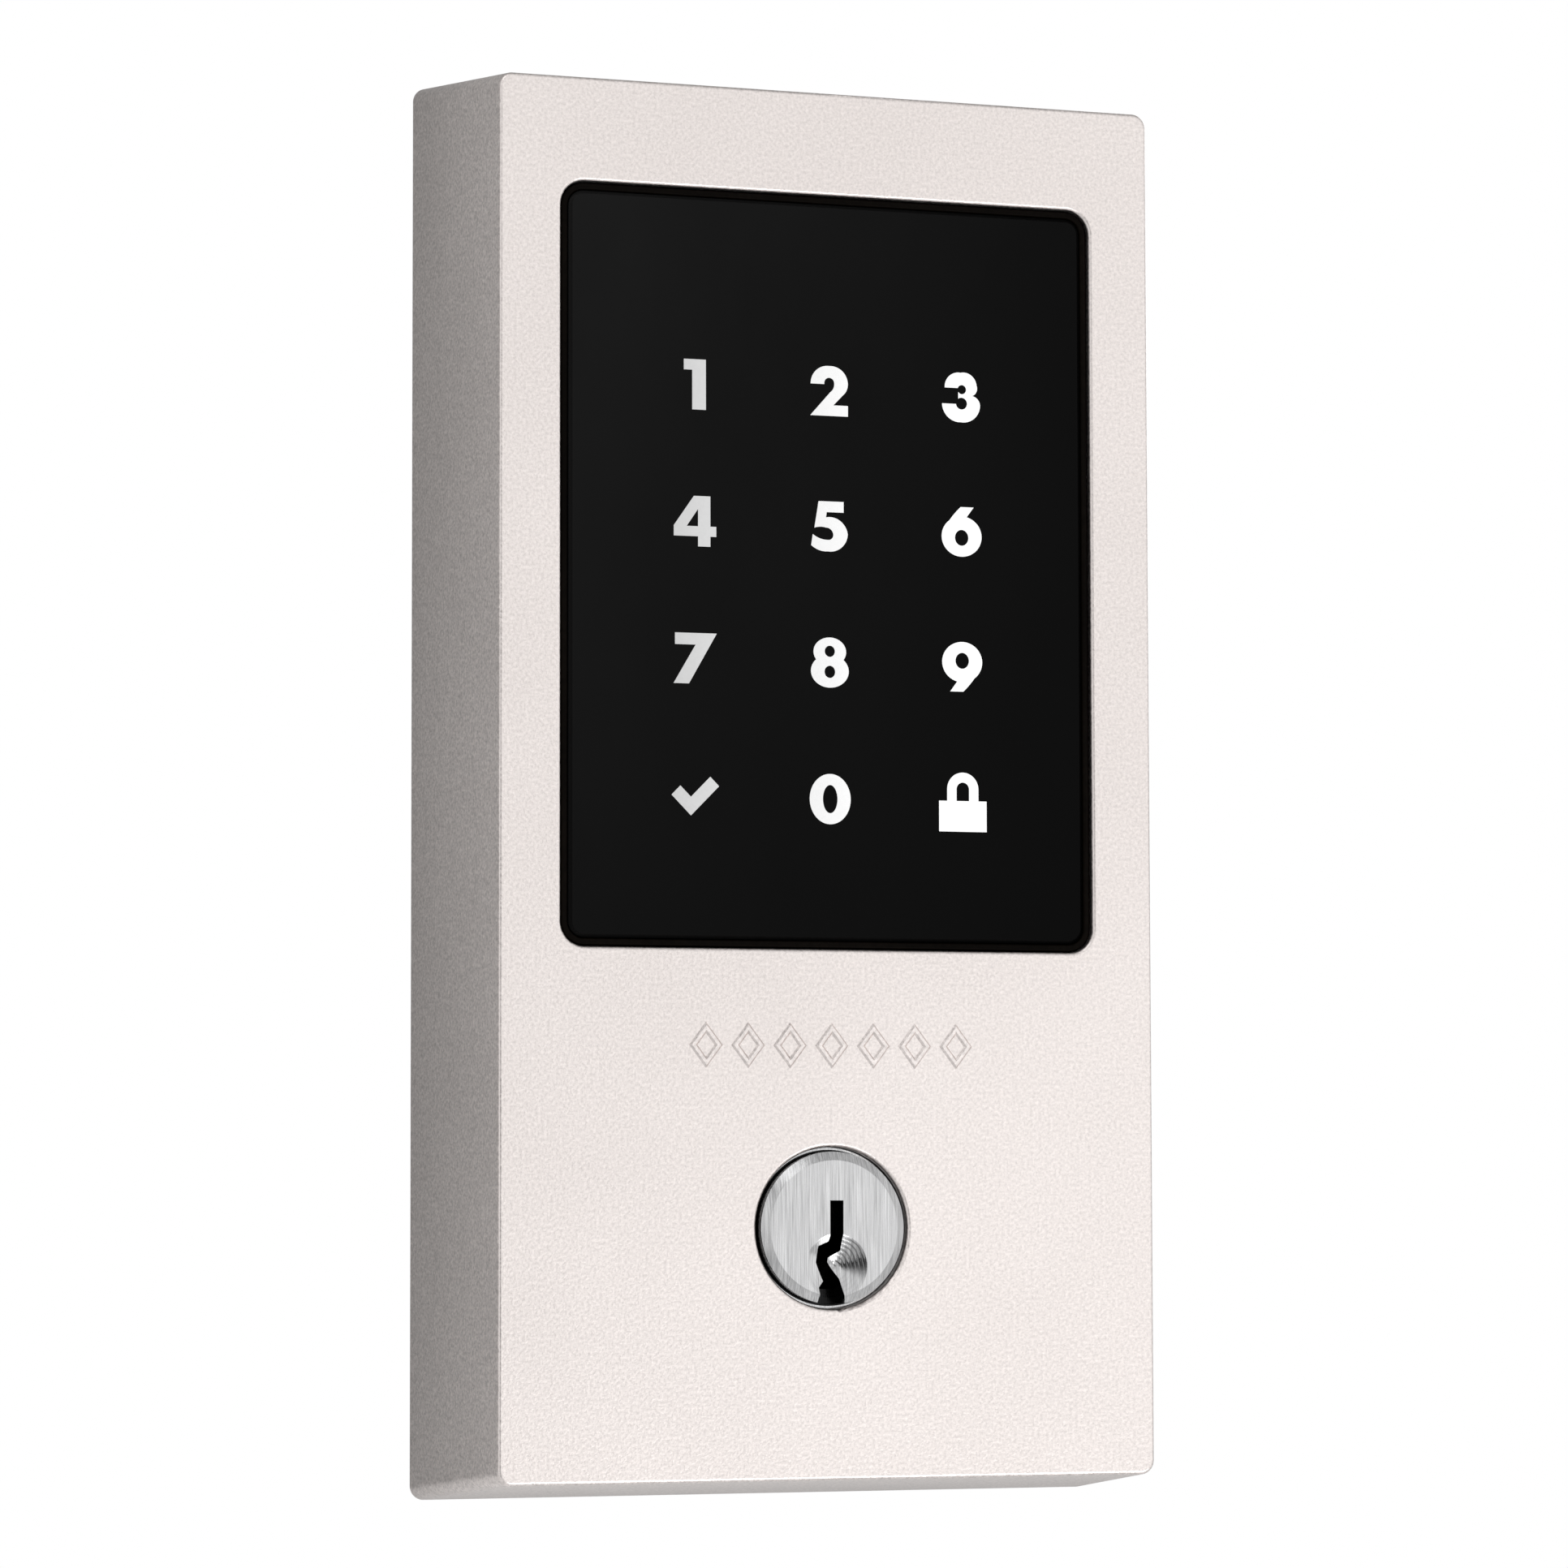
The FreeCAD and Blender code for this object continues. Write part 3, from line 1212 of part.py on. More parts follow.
def pin_spring(number, depth):
    """A closed coil of round wire between the driver pin and the strip."""
    wire = value("dim.spring_wire")
    radius = value("dim.spring_radius")
    turns = value("dim.spring_turns")
    low = value(DRIVER_TOP) + wire
    height = value(SPRING_TOP) - wire - low
    helix = Part.makeHelix(height / turns, height, radius)
    section = Part.Wire(Part.Circle(Vector(radius, 0, 0), Vector(0, 1, 0), wire).toShape())
    coil = Part.Wire(helix).makePipeShell([section], True, True)
    item = doc.addObject("Part::Feature", f"spring_coil_{number}")
    item.Shape = coil
    item.Placement = Placement(Vector(0, -value(depth), low), Rotation())
    keep(item, f"pin_spring_{number}")


def spring_strip():
    """Strip pressed into the top of the tower over the springs."""
    strip = block(
        "strip", "dim.strip_width", "dim.strip_thick", "dim.tower_back", STRIP_FRONT, "0",
        "dim.tower_top - dim.strip_thick / 2",
    )
    keep(strip, "spring_strip")


def plug_clip():
    """C-shaped clip in the plug's groove, which keeps the plug in the cylinder."""
    front = "dim.groove_front - dim.clip_play"
    back = f"{front} - dim.clip_thick"
    disc = rod("clip_disc", "dim.clip_radius", back, front)
    ends = (f"{back} - dim.over", f"{front} + dim.over")
    hole = rod("clip_hole", "dim.groove_radius + dim.clip_play", *ends)
    mouth = block(
        "clip_mouth", "dim.clip_mouth", "dim.clip_radius + dim.over", *ends, "0",
        "-(dim.clip_radius + dim.over) / 2",
    )
    keep(cut("clip", disc, fuse("clip_gap", [hole, mouth])), "plug_clip")


def driver_disc():
    """Disc fixed in the plug's rear socket. Its bow-tie hole turns the blade after some free play."""
    back = "dim.plug_back"
    front = f"{back} + dim.cam_thick"
    disc = rod("cam_blank", "dim.socket_radius - dim.cam_fit", back, front)
    ends = (f"{back} - dim.over", f"{front} + dim.over")
    width = "(dim.blade_width + 2 * dim.blade_clearance)"
    thick = "(dim.blade_thick + 2 * dim.blade_clearance)"
    upright_slot = block("cam_slot_upright", thick, width, *ends)
    level_slot = block("cam_slot_level", width, thick, *ends)
    # the blade's corners sweep a little further than its middle line does
    corner = f"atan({thick} / {width})"
    tools = [upright_slot, level_slot]
    for side in (0, 180):
        sector = rod(f"cam_sector_{side}", f"sqrt({width}^2 + {thick}^2) / 2", *ends)
        bind(sector, Angle=f"dim.free_play * 1 deg + 2 * {corner}")
        start = Rotation(Vector(0, 1, 0), side + value(corner))
        sector.Placement = Placement(Vector(), start.multiply(sector.Placement.Rotation))
        tools.append(sector)
    keep(cut("cam", disc, fuse("bow_tie", tools)), "driver_disc")


def torque_blade():
    """Flat bar that carries the plug's turn through the door, on a round head in the plug's socket."""
    head_back = "dim.plug_back + dim.cam_thick + dim.blade_head_gap"
    head = rod("blade_head", "dim.blade_head_radius", head_back, f"{head_back} + dim.blade_head_thick")
    bar = block(
        "blade_bar", "dim.blade_thick", "dim.blade_width", "dim.blade_back + dim.blade_point", head_back
    )
    tip = doc.addObject("Part::Wedge", "blade_tip")
    bind(
        tip,
        Xmin="-dim.blade_thick / 2",
        Xmax="dim.blade_thick / 2",
        X2min="-dim.blade_thick / 4",
        X2max="dim.blade_thick / 4",
        Zmin="-dim.blade_width / 2",
        Zmax="dim.blade_width / 2",
        Z2min="dim.blade_shrink - dim.blade_width / 2",
        Z2max="dim.blade_width / 2 - dim.blade_shrink",
        Ymin="0",
        Ymax="dim.blade_point",
        Placement__Base__y="-dim.blade_back - dim.blade_point",
    )
    keep(fuse("blade", [head, bar, tip]), "torque_blade")


def cylinder_yoke():
    """Plate that clamps the cylinder's shoulder against the front wall."""
    body = new_body("cylinder_yoke")
    plate = rectangle_at(
        body, "plate", YOKE_BACK, "dim.yoke_width", "dim.yoke_height", "dim.yoke_corner", "dim.yoke_z"
    )
    pad(body, "plate_pad", plate, "dim.yoke_thick")
    cut_cylinder_passage(body, YOKE_BACK, "dim.yoke_thick")
    holes = new_sketch(body, "holes", YOKE_BACK)
    for x, z in YOKE_SCREWS:
        draw_circle(holes, "dim.screw_radius + dim.screw_clearance", x, z)
    pocket(body, "screw_holes", holes, "dim.yoke_thick", towards_front=True)


def cut_cylinder_passage(body, depth, thick):
    """Round hole and slot that let the barrel and its tower through a plate."""
    barrel = new_sketch(body, "barrel_hole", depth)
    draw_circle(barrel, "dim.barrel_radius + dim.barrel_clearance")
    pocket(body, "barrel_passage", barrel, thick, towards_front=True)
    height = "dim.tower_top + dim.barrel_clearance"
    tower = new_sketch(body, "tower_slot", depth, z=f"({height}) / 2")
    draw_rounded_rectangle(tower, "dim.tower_width + 2 * dim.barrel_clearance", height, "dim.tower_corner")
    pocket(body, "tower_passage", tower, thick, towards_front=True)


# ---------------------------------------------------------------------------------------------------
# Back of the unit
# ---------------------------------------------------------------------------------------------------


def back_plate():
    """Steel plate that closes the housing, screwed to its bosses."""
    body = new_body("back_plate")
    trim = f"2 * ({PLATE_SPREAD})"
    plate = rectangle_at(
        body, "plate", "dim.plate_back", f"dim.plate_width + {trim}", f"dim.plate_height + {trim}",
        "dim.corner - dim.wall / 2", MIDDLE,
    )
    pad(body, "plate_pad", plate, "dim.plate_thick")
    cut_cylinder_passage(body, "dim.plate_back", "dim.plate_thick")
    posts = new_sketch(body, "posts", "dim.plate_back")
    for side in (-1, 1):
        draw_circle(posts, "dim.post_radius + dim.post_fit", f"{side} * dim.post_x")
    pocket(body, "post_holes", posts, "dim.plate_thick", towards_front=True)
    outlet = rectangle_at(
        body, "outlet", "dim.plate_back", "dim.outlet_width", "dim.outlet_height", "dim.outlet_corner",
        "dim.outlet_z",
    )
    pocket(body, "cable_outlet", outlet, "dim.plate_thick", towards_front=True)
    screws = new_sketch(body, "screws", "dim.plate_back")
    for x, z in PLATE_SCREWS:
        draw_circle(screws, "dim.screw_radius + dim.screw_clearance", x, z)
    pocket(body, "screw_holes", screws, "dim.plate_thick", towards_front=True)
    heads = new_sketch(body, "heads", "dim.plate_back")
    for x, z in PLATE_SCREWS:
        draw_circle(heads, "dim.screw_head + dim.screw_clearance", x, z)
    pocket(body, "head_recesses", heads, "dim.flat_head_seat", towards_front=True)


def plate_screws():
    """Flat-head screws of the back plate, flush with its rear face."""
    screws = []
    outside = "dim.plate_back"
    seat = f"{outside} + dim.flat_head_thick"
    inside = f"{outside} + dim.flat_recess_depth"
    for index, (x, z) in enumerate(PLATE_SCREWS):
        head = rod(f"plate_head_{index}", "dim.screw_head", outside, seat, x, z)
        shank = rod(
            f"plate_shank_{index}", "dim.screw_radius", seat, f"{PLATE_FRONT} + dim.flat_grip", x, z
        )
        recess = rod(f"plate_recess_{index}", "dim.recess_radius", outside, inside, x, z)
        whole = fuse(f"plate_screw_whole_{index}", [head, shank])
        screws.append(cut(f"plate_screw_{index}", whole, recess))
    keep(group("plate_screw_group", screws), "plate_screws")


def door_gasket():
    """Rubber ring on the back plate that seals against the door."""
    body = new_body("door_gasket")
    ring = new_sketch(body, "ring", "0", z=MIDDLE)
    outer = f"2 * ({PLATE_SPREAD} - dim.door_seal_inset)"
    inner = f"2 * ({PLATE_SPREAD} - dim.door_seal_inset - dim.door_seal_width)"
    for trim, corner in ((outer, "dim.door_seal_corner"), (inner, "dim.door_seal_corner / 2")):
        draw_rounded_rectangle(ring, f"dim.plate_width + {trim}", f"dim.plate_height + {trim}", corner)
    pad(body, "ring_pad", ring, "dim.plate_back")


def bore_ring():
    """Plastic ring behind the back plate that centres the unit in the door's bore."""
    body = new_body("bore_ring")
    flange_back = "dim.plate_back - dim.bore_ring_flange_thick"
    inner = "dim.bore_ring_radius - dim.bore_ring_wall"
    section = half_section(
        body,
        "section",
        [
            ("dim.plate_back", inner),
            ("dim.plate_back", "dim.bore_ring_flange"),
            (flange_back, "dim.bore_ring_flange"),
            (flange_back, "dim.bore_ring_radius"),
            ("dim.bore_ring_back + dim.bore_ring_chamfer", "dim.bore_ring_radius"),
            ("dim.bore_ring_back", "dim.bore_ring_radius - dim.bore_ring_chamfer"),
            ("dim.bore_ring_back", inner),
        ],
    )
    turn(body, "ring", "Revolution", section)


def mounting_post(label, side):
    """Steel post swaged into the back plate, with a blind thread for a bolt from inside the door."""
    x = f"{side} * dim.post_x"
    stem = rod(f"{label}_stem", "dim.post_radius", "dim.post_back", PLATE_FRONT, x)
    head = rod(
        f"{label}_head", "dim.post_head_radius", PLATE_FRONT, f"{PLATE_FRONT} + dim.post_head_thick", x
    )
    hole = rod(f"{label}_hole", "dim.post_hole", "dim.post_back - dim.over", "dim.plate_back", x)
    keep(cut(f"{label}_body", fuse(f"{label}_whole", [stem, head]), hole), label)


def build():
    fill_sheet()
    front_housing()
    keypad_seal()
    keypad_carrier()
    touch_glass()
    key_symbols()
    lens_tape()
    light_guide()
    keypad_board()
    backlight_leds()
    touch_controller()
    processor_module()
    buzzer()
    harness_socket()
    socket_pins()
    capacitors()
    board_screws()
    keypad_rear_cover()
    pan_screws("cover_screws", COVER_SCREWS, "dim.ear_back", "dim.screw_length - 1")
    cylinder_body()
    cylinder_plug()
    for index, depth in enumerate(PIN_DEPTHS):
        pin_pair(index, depth)
    spring_strip()
    plug_clip()
    driver_disc()
    torque_blade()
    cylinder_yoke()
    pan_screws("yoke_screws", YOKE_SCREWS, YOKE_BACK, "dim.yoke_thick + dim.shoulder_thick + dim.yoke_grip")
    back_plate()
    plate_screws()
    door_gasket()
    bore_ring()
    mounting_post("mounting_post_left", -1)
    mounting_post("mounting_post_right", 1)
    doc.recompute()


def check():
    """Stops if any object failed, or any piece isn't made of valid closed solids."""
    for item in doc.Objects:
        if "Invalid" in item.State or "Error" in item.State:
            raise RuntimeError(f"{item.Label} failed: {item.State}")
    for piece in pieces:
        shape = piece.Shape
        if shape.isNull() or not shape.isValid() or not shape.Solids:
            raise RuntimeError(f"{piece.Label} has no valid solid")
        if not all(solid.isClosed() for solid in shape.Solids):
            raise RuntimeError(f"{piece.Label} is open")


def write():
    os.makedirs("parts", exist_ok=True)
    for piece in pieces:
        piece.Shape.exportStep(f"parts/{piece.Label}.step")


build()
check()
write()
for finished in pieces:
    volume = sum(solid.Volume for solid in finished.Shape.Solids)
    print(f"{finished.Label}: {len(finished.Shape.Solids)} solid(s), {volume:.1f} mm3")
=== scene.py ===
"""Looks of a keypad deadbolt's outside unit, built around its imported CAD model."""

import json
import math

import bmesh
import bpy
from mathutils import Matrix, Vector

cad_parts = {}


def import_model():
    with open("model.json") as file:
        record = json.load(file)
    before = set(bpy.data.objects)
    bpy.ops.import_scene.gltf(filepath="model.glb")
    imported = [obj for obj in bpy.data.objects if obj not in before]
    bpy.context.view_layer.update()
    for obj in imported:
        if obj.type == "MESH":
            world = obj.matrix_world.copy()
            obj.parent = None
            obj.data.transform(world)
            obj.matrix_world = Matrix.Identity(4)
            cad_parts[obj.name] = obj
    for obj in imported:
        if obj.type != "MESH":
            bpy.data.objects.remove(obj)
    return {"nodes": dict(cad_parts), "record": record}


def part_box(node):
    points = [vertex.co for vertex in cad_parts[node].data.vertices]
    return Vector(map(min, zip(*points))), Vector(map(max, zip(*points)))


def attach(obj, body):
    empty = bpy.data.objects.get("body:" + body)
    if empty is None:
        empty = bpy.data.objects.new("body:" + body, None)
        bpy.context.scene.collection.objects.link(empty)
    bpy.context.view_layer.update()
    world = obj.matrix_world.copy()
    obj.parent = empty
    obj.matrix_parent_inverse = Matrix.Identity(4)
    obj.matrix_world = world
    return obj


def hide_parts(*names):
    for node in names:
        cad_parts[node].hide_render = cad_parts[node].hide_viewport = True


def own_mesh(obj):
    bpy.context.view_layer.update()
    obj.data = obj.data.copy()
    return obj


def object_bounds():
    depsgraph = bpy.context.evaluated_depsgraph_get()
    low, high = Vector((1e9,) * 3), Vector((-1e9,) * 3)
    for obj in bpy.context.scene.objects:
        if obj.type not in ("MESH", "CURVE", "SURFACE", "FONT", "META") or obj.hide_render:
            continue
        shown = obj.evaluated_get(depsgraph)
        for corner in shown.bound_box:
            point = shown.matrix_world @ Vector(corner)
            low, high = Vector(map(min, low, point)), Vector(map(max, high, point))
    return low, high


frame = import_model()
cad_low, cad_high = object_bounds()
NODES = frame["nodes"]
MM = 0.001

# the key cylinder turns about the Y axis of the frame, so distance(0, 0) is the distance from its middle
HEAD_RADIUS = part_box("cylinder_plug")[1].x
HEAD_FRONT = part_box("cylinder_plug")[0].y + 0.01 * MM
# middle and rim of the conical lead-in that the key is pushed into
FUNNEL_X, FUNNEL_Z, FUNNEL_RADIUS = 0.25 * MM, -4.0 * MM, 3.40 * MM

# ---------------------------------------------------------------------------------------------------
# Materials: a small layer over shader nodes
# ---------------------------------------------------------------------------------------------------


class Look:
    """A Principled material, and short names for the nodes that feed it."""

    def __init__(self, name, **sockets):
        self.material = bpy.data.materials.new(name)
        self.material.use_nodes = True
        self.tree = self.material.node_tree
        self.shader = self.tree.nodes["Principled BSDF"]
        coordinates = self.tree.nodes.new("ShaderNodeTexCoord")
        self.place = coordinates.outputs["Object"]
        self.facing = coordinates.outputs["Normal"]
        for socket, value in sockets.items():
            self.shader.inputs[socket.replace("_", " ")].default_value = value

    def node(self, kind, **settings):
        made = self.tree.nodes.new("ShaderNode" + kind)
        for name, value in settings.items():
            setattr(made, name, value)
        return made

    def link(self, source, target):
        self.tree.links.new(source, target)

    def stretched(self, scale, offset=(0, 0, 0)):
        """The object's own coordinates, scaled along each axis and then moved."""
        mapping = self.node("Mapping")
        mapping.inputs["Scale"].default_value = scale
        mapping.inputs["Location"].default_value = offset
        self.link(self.place, mapping.inputs["Vector"])
        return mapping.outputs["Vector"]

    def noise(self, scale, detail=3.0, roughness=0.5, along=None):
        made = self.node("TexNoise")
        made.inputs["Scale"].default_value = scale
        made.inputs["Detail"].default_value = detail
        made.inputs["Roughness"].default_value = roughness
        self.link(self.place if along is None else along, made.inputs["Vector"])
        return made.outputs["Fac"]

    def ramp(self, factor, *stops):
        """Stops are pairs of position and colour, or position and grey."""
        made = self.node("ValToRGB")
        elements = made.color_ramp.elements
        while len(elements) < len(stops):
            elements.new(0.5)
        for element, (position, colour) in zip(elements, stops):
            element.position = position
            grey = isinstance(colour, (int, float))
            element.color = (colour, colour, colour, 1) if grey else (*colour, 1)
        self.link(factor, made.inputs["Fac"])
        return made.outputs["Color"]

    def spread(self, factor, low, high, start=0.3, end=0.7):
        """The factor's middle stretch, spread from low to high."""
        made = self.node("MapRange")
        made.inputs["From Min"].default_value = start
        made.inputs["From Max"].default_value = end
        made.inputs["To Min"].default_value = low
        made.inputs["To Max"].default_value = high
        self.link(factor, made.inputs["Value"])
        return made.outputs["Result"]

    def math(self, operation, first, second=None):
        made = self.node("Math", operation=operation)
        for socket, value in zip(made.inputs, (first, second)):
            if isinstance(value, (int, float)):
                socket.default_value = value
            elif value is not None:
                self.link(value, socket)
        return made.outputs["Value"]

    def tint(self, colour, factor):
        """A colour times a grey factor."""
        made = self.node("Mix", data_type="RGBA", blend_type="MULTIPLY")
        made.inputs["Factor"].default_value = 1.0
        self.link(colour, made.inputs[6])
        self.link(factor, made.inputs[7])
        return made.outputs[2]

    def axis(self, letter, of=None):
        made = self.node("SeparateXYZ")
        self.link(self.place if of is None else of, made.inputs["Vector"])
        return made.outputs[letter]

    def distance(self, x, z):
        """Distance from a line along Y."""
        middle = self.stretched((1, 0, 1), (-x, 0, -z))
        made = self.node("VectorMath", operation="LENGTH")
        self.link(middle, made.inputs[0])
        return made.outputs["Value"]

    def towards(self, x, z, direction):
        """Cosine of the angle between a direction and the way from a line along Y."""
        away = self.node("VectorMath", operation="NORMALIZE")
        self.link(self.stretched((1, 0, 1), (-x, 0, -z)), away.inputs[0])
        made = self.node("VectorMath", operation="DOT_PRODUCT")
        made.inputs[1].default_value = direction
        self.link(away.outputs["Vector"], made.inputs[0])
        return made.outputs["Value"]

    def front_or_back(self):
        """1 on faces that look along Y, 0 on the walls between them."""
        return self.math("ABSOLUTE", self.axis("Y", self.facing))

    def bump(self, height, distance, strength=1.0, under=None):
        made = self.node("Bump")
        made.inputs["Strength"].default_value = strength
        made.inputs["Distance"].default_value = distance
        self.link(height, made.inputs["Height"])
        if under is not None:
            self.link(under, made.inputs["Normal"])
        return made.outputs["Normal"]

    def feed(self, **sources):
        for socket, source in sources.items():
            self.link(source, self.shader.inputs[socket.replace("_", " ")])
        return self


def satin_nickel():
    """Bead-blasted nickel plate: sparkling grain, coarser on the sides, painted shade towards the door, and
    painted shade in the hole round the cylinder.
    """
    look = Look("satin_nickel", Metallic=1.0)
    clouds = look.noise(26.0, 4.0, 0.55)
    grain = look.noise(3000.0, 2.0, 0.7)
    colour = look.ramp(clouds, (0.32, (0.845, 0.782, 0.755)), (0.68, (0.915, 0.850, 0.822)))
    coarse = look.spread(look.front_or_back(), 0.50, 0.28, 0.2, 0.9)
    sparkle = look.math("MULTIPLY", look.spread(grain, -0.6, 0.4), coarse)
    colour = look.tint(colour, look.math("ADD", sparkle, 1.0))
    # painted shade: darker towards the door
    colour = look.tint(colour, look.spread(look.axis("Y"), 1.0, 0.70, cad_low.y, 0.0))
    # painted shade in the hole round the cylinder, which leaves its lower right side light
    hole = look.math("LESS_THAN", look.distance(0.0, 0.0), HEAD_RADIUS + 0.9 * MM)
    inward = look.spread(look.axis("Y"), 0.0, 1.0, cad_low.y + 1.30 * MM, cad_low.y + 1.60 * MM)
    shaded_part = look.spread(look.towards(0.0, 0.0, (0.6, 0.0, -0.8)), 1.0, 0.0, 0.6, 0.9)
    painted_hole_shade = look.math("MULTIPLY", look.math("MULTIPLY", hole, inward), shaded_part)
    colour = look.tint(colour, look.spread(painted_hole_shade, 1.0, 0.04, 0.0, 1.0))
    rough = look.math("ADD", look.spread(clouds, 0.27, 0.33), look.spread(grain, 0.0, 0.08))
    normal = look.bump(grain, 0.03 * MM)
    return look.feed(Base_Color=colour, Roughness=rough, Normal=normal).material


def brushed_nickel():
    """Nickel plate with upright brush lines. The key's lead-in shows the turning marks of its cutter.
    Painted shade darkens the keyway, the gap round the head and one side of the lead-in.
    """
    look = Look("brushed_nickel", Metallic=1.0)
    lines = look.noise(1500.0, 4.0, 0.6, look.stretched((6.0, 1.0, 0.10)))
    broad = look.noise(160.0, 2.0, 0.5, look.stretched((6.0, 1.0, 0.15)))
    colour = look.ramp(lines, (0.32, (0.43, 0.43, 0.435)), (0.66, (0.79, 0.79, 0.795)))
    colour = look.tint(colour, look.spread(broad, 0.90, 1.03))

    # the lead-in, with its turning rings 0.42 mm apart, strong on one side and faint elsewhere
    radians_per_metre = 15000.0
    radius = look.distance(FUNNEL_X, FUNNEL_Z)
    inside = look.math("LESS_THAN", radius, FUNNEL_RADIUS)
    funnel = look.math("MULTIPLY", inside, look.math("GREATER_THAN", look.axis("Y"), HEAD_FRONT))
    wobble = look.math("MULTIPLY", look.noise(700.0, 2.0), 0.25 * MM)
    marks = look.math("ADD", radius, wobble)
    marks = look.math("SINE", look.math("MULTIPLY", marks, radians_per_metre))
    marks = look.math("MULTIPLY", marks, funnel)
    # painted reflection and shade: the rings are strong, and the lead-in darker, only on its upper right
    # side
    painted_shade_side = look.spread(look.towards(FUNNEL_X, FUNNEL_Z, (0.64, 0.0, 0.77)), 0.0, 1.0, 0.50, 0.70)
    marks = look.math("MULTIPLY", marks, look.spread(painted_shade_side, 0.12, 1.0, 0.0, 1.0))
    colour = look.tint(colour, look.spread(marks, 0.45, 1.0, -1.0, 0.0))
    colour = look.tint(colour, look.spread(look.math("MULTIPLY", painted_shade_side, funnel), 1.0, 0.90, 0.0, 1.0))

    # painted shade on the keyway's walls and in the gap round the head, none of it far behind the face
    from_middle = look.distance(0.0, 0.0)
    walls = look.spread(look.front_or_back(), 1.0, 0.0, 0.35, 0.5)
    keyway = look.math("LESS_THAN", from_middle, HEAD_RADIUS - 0.4 * MM)
    behind = look.spread(look.axis("Y"), 0.0, 1.0, HEAD_FRONT + 1.1 * MM, HEAD_FRONT + 1.4 * MM)
    walls = look.math("MULTIPLY", walls, look.math("MAXIMUM", keyway, behind))
    gap = look.spread(look.axis("Y"), 0.0, 1.0, HEAD_FRONT + 1.0 * MM, HEAD_FRONT + 1.2 * MM)
    gap = look.math("MULTIPLY", gap, look.math("LESS_THAN", from_middle, HEAD_RADIUS + 0.2 * MM))
    near = look.math("LESS_THAN", look.axis("Y"), HEAD_FRONT + 8.0 * MM)
    painted_keyway_shade = look.math("MULTIPLY", look.math("MAXIMUM", walls, gap), near)
    colour = look.tint(colour, look.spread(painted_keyway_shade, 1.0, 0.03, 0.0, 1.0))

    polish = look.spread(funnel, 1.0, 0.55, 0.0, 1.0)
    rough = look.math("MULTIPLY", look.spread(lines, 0.20, 0.30), polish)
    normal = look.bump(lines, 0.02 * MM, 0.5)
    normal = look.bump(marks, 0.008 * MM, under=normal)
    return look.feed(Base_Color=colour, Roughness=rough, Normal=normal).material


def black_glass():
    """Back-painted touch glass, with the faintest smears, and painted sheen that makes it lighter towards
    its upper left.
    """
    look = Look("black_glass", IOR=1.12)
    smear = look.noise(30.0, 4.0, 0.6, look.stretched((1.0, 1.0, 0.5)))
    low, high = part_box("touch_glass")
    # painted sheen: lighter towards the left and towards the top
    across = look.spread(look.axis("X"), 1.7, 0.5, low.x, high.x)
    painted_sheen_upward = look.spread(look.axis("Z"), 0.55, 1.45, low.z, high.z)
    colour = look.ramp(smear, (0.3, 0.0034), (0.7, 0.0050))
    colour = look.tint(look.tint(colour, across), painted_sheen_upward)
    rough = look.spread(smear, 0.04, 0.10)
    return look.feed(Base_Color=colour, Roughness=rough).material


def lit_ink():
    """White symbols, lit from behind, a little dimmer towards the left."""
    look = Look("lit_ink", Roughness=0.45)
    across = look.spread(look.axis("X"), 0.0, 1.0, -18 * MM, 8 * MM)
    speckle = look.noise(2500.0, 2.0)
    colour = look.ramp(across, (0.0, 0.60), (1.0, 0.78))
    colour = look.tint(colour, look.spread(speckle, 0.96, 1.0))
    glow = look.spread(across, 0.10, 0.42, 0.0, 1.0)
    look.shader.inputs["Emission Color"].default_value = (1, 1, 1, 1)
    return look.feed(Base_Color=colour, Emission_Strength=glow).material


def moulded(name, dark, light, rough=(0.35, 0.5), grain=1800.0, depth=0.03, ior=1.45):
    """Moulded plastic or rubber with a fine texture, whose depth is in millimetres."""
    look = Look(name, IOR=ior)
    texture = look.noise(grain, 3.0, 0.6)
    clouds = look.noise(60.0, 3.0)
    colour = look.ramp(look.math("MULTIPLY", texture, clouds), (0.12, dark), (0.4, light))
    return look.feed(
        Base_Color=colour,
        Roughness=look.spread(texture, *rough),
        Normal=look.bump(texture, depth * MM, 0.6),
    ).material


def metal(name, dark, light, rough=(0.25, 0.4), lines=(1.0, 1.0, 1.0), scale=300.0, depth=0.01):
    """Plain metal with a direction to its finish, whose depth is in millimetres."""
    look = Look(name, Metallic=1.0)
    finish = look.noise(scale, 5.0, 0.65, look.stretched(lines))
    clouds = look.noise(35.0, 3.0)
    colour = look.ramp(finish, (0.3, dark), (0.7, light))
    colour = look.tint(colour, look.spread(clouds, 0.84, 1.04))
    return look.feed(
        Base_Color=colour,
        Roughness=look.spread(finish, *rough),
        Normal=look.bump(finish, depth * MM, 0.5),
    ).material


def circuit_board():
    """Green solder mask over copper tracks that run straight and turn square."""
    look = Look("circuit_board", IOR=1.45, Roughness=0.35)
    tracks = look.node("TexBrick", offset=0.5)
    tracks.inputs["Scale"].default_value = 150.0
    tracks.inputs["Mortar Size"].default_value = 0.06
    swap = look.node("SeparateXYZ")
    flat = look.node("CombineXYZ")
    look.link(look.place, swap.inputs["Vector"])
    look.link(swap.outputs["X"], flat.inputs["X"])
    look.link(swap.outputs["Z"], flat.inputs["Y"])
    look.link(flat.outputs["Vector"], tracks.inputs["Vector"])
    patch = look.noise(90.0, 2.0)
    lines = look.math("MULTIPLY", tracks.outputs["Fac"], look.spread(patch, 0.0, 1.0, 0.45, 0.5))
    colour = look.ramp(lines, (0.0, (0.008, 0.095, 0.04)), (1.0, (0.03, 0.20, 0.075)))
    return look.feed(Base_Color=colour, Normal=look.bump(lines, 0.03 * MM)).material


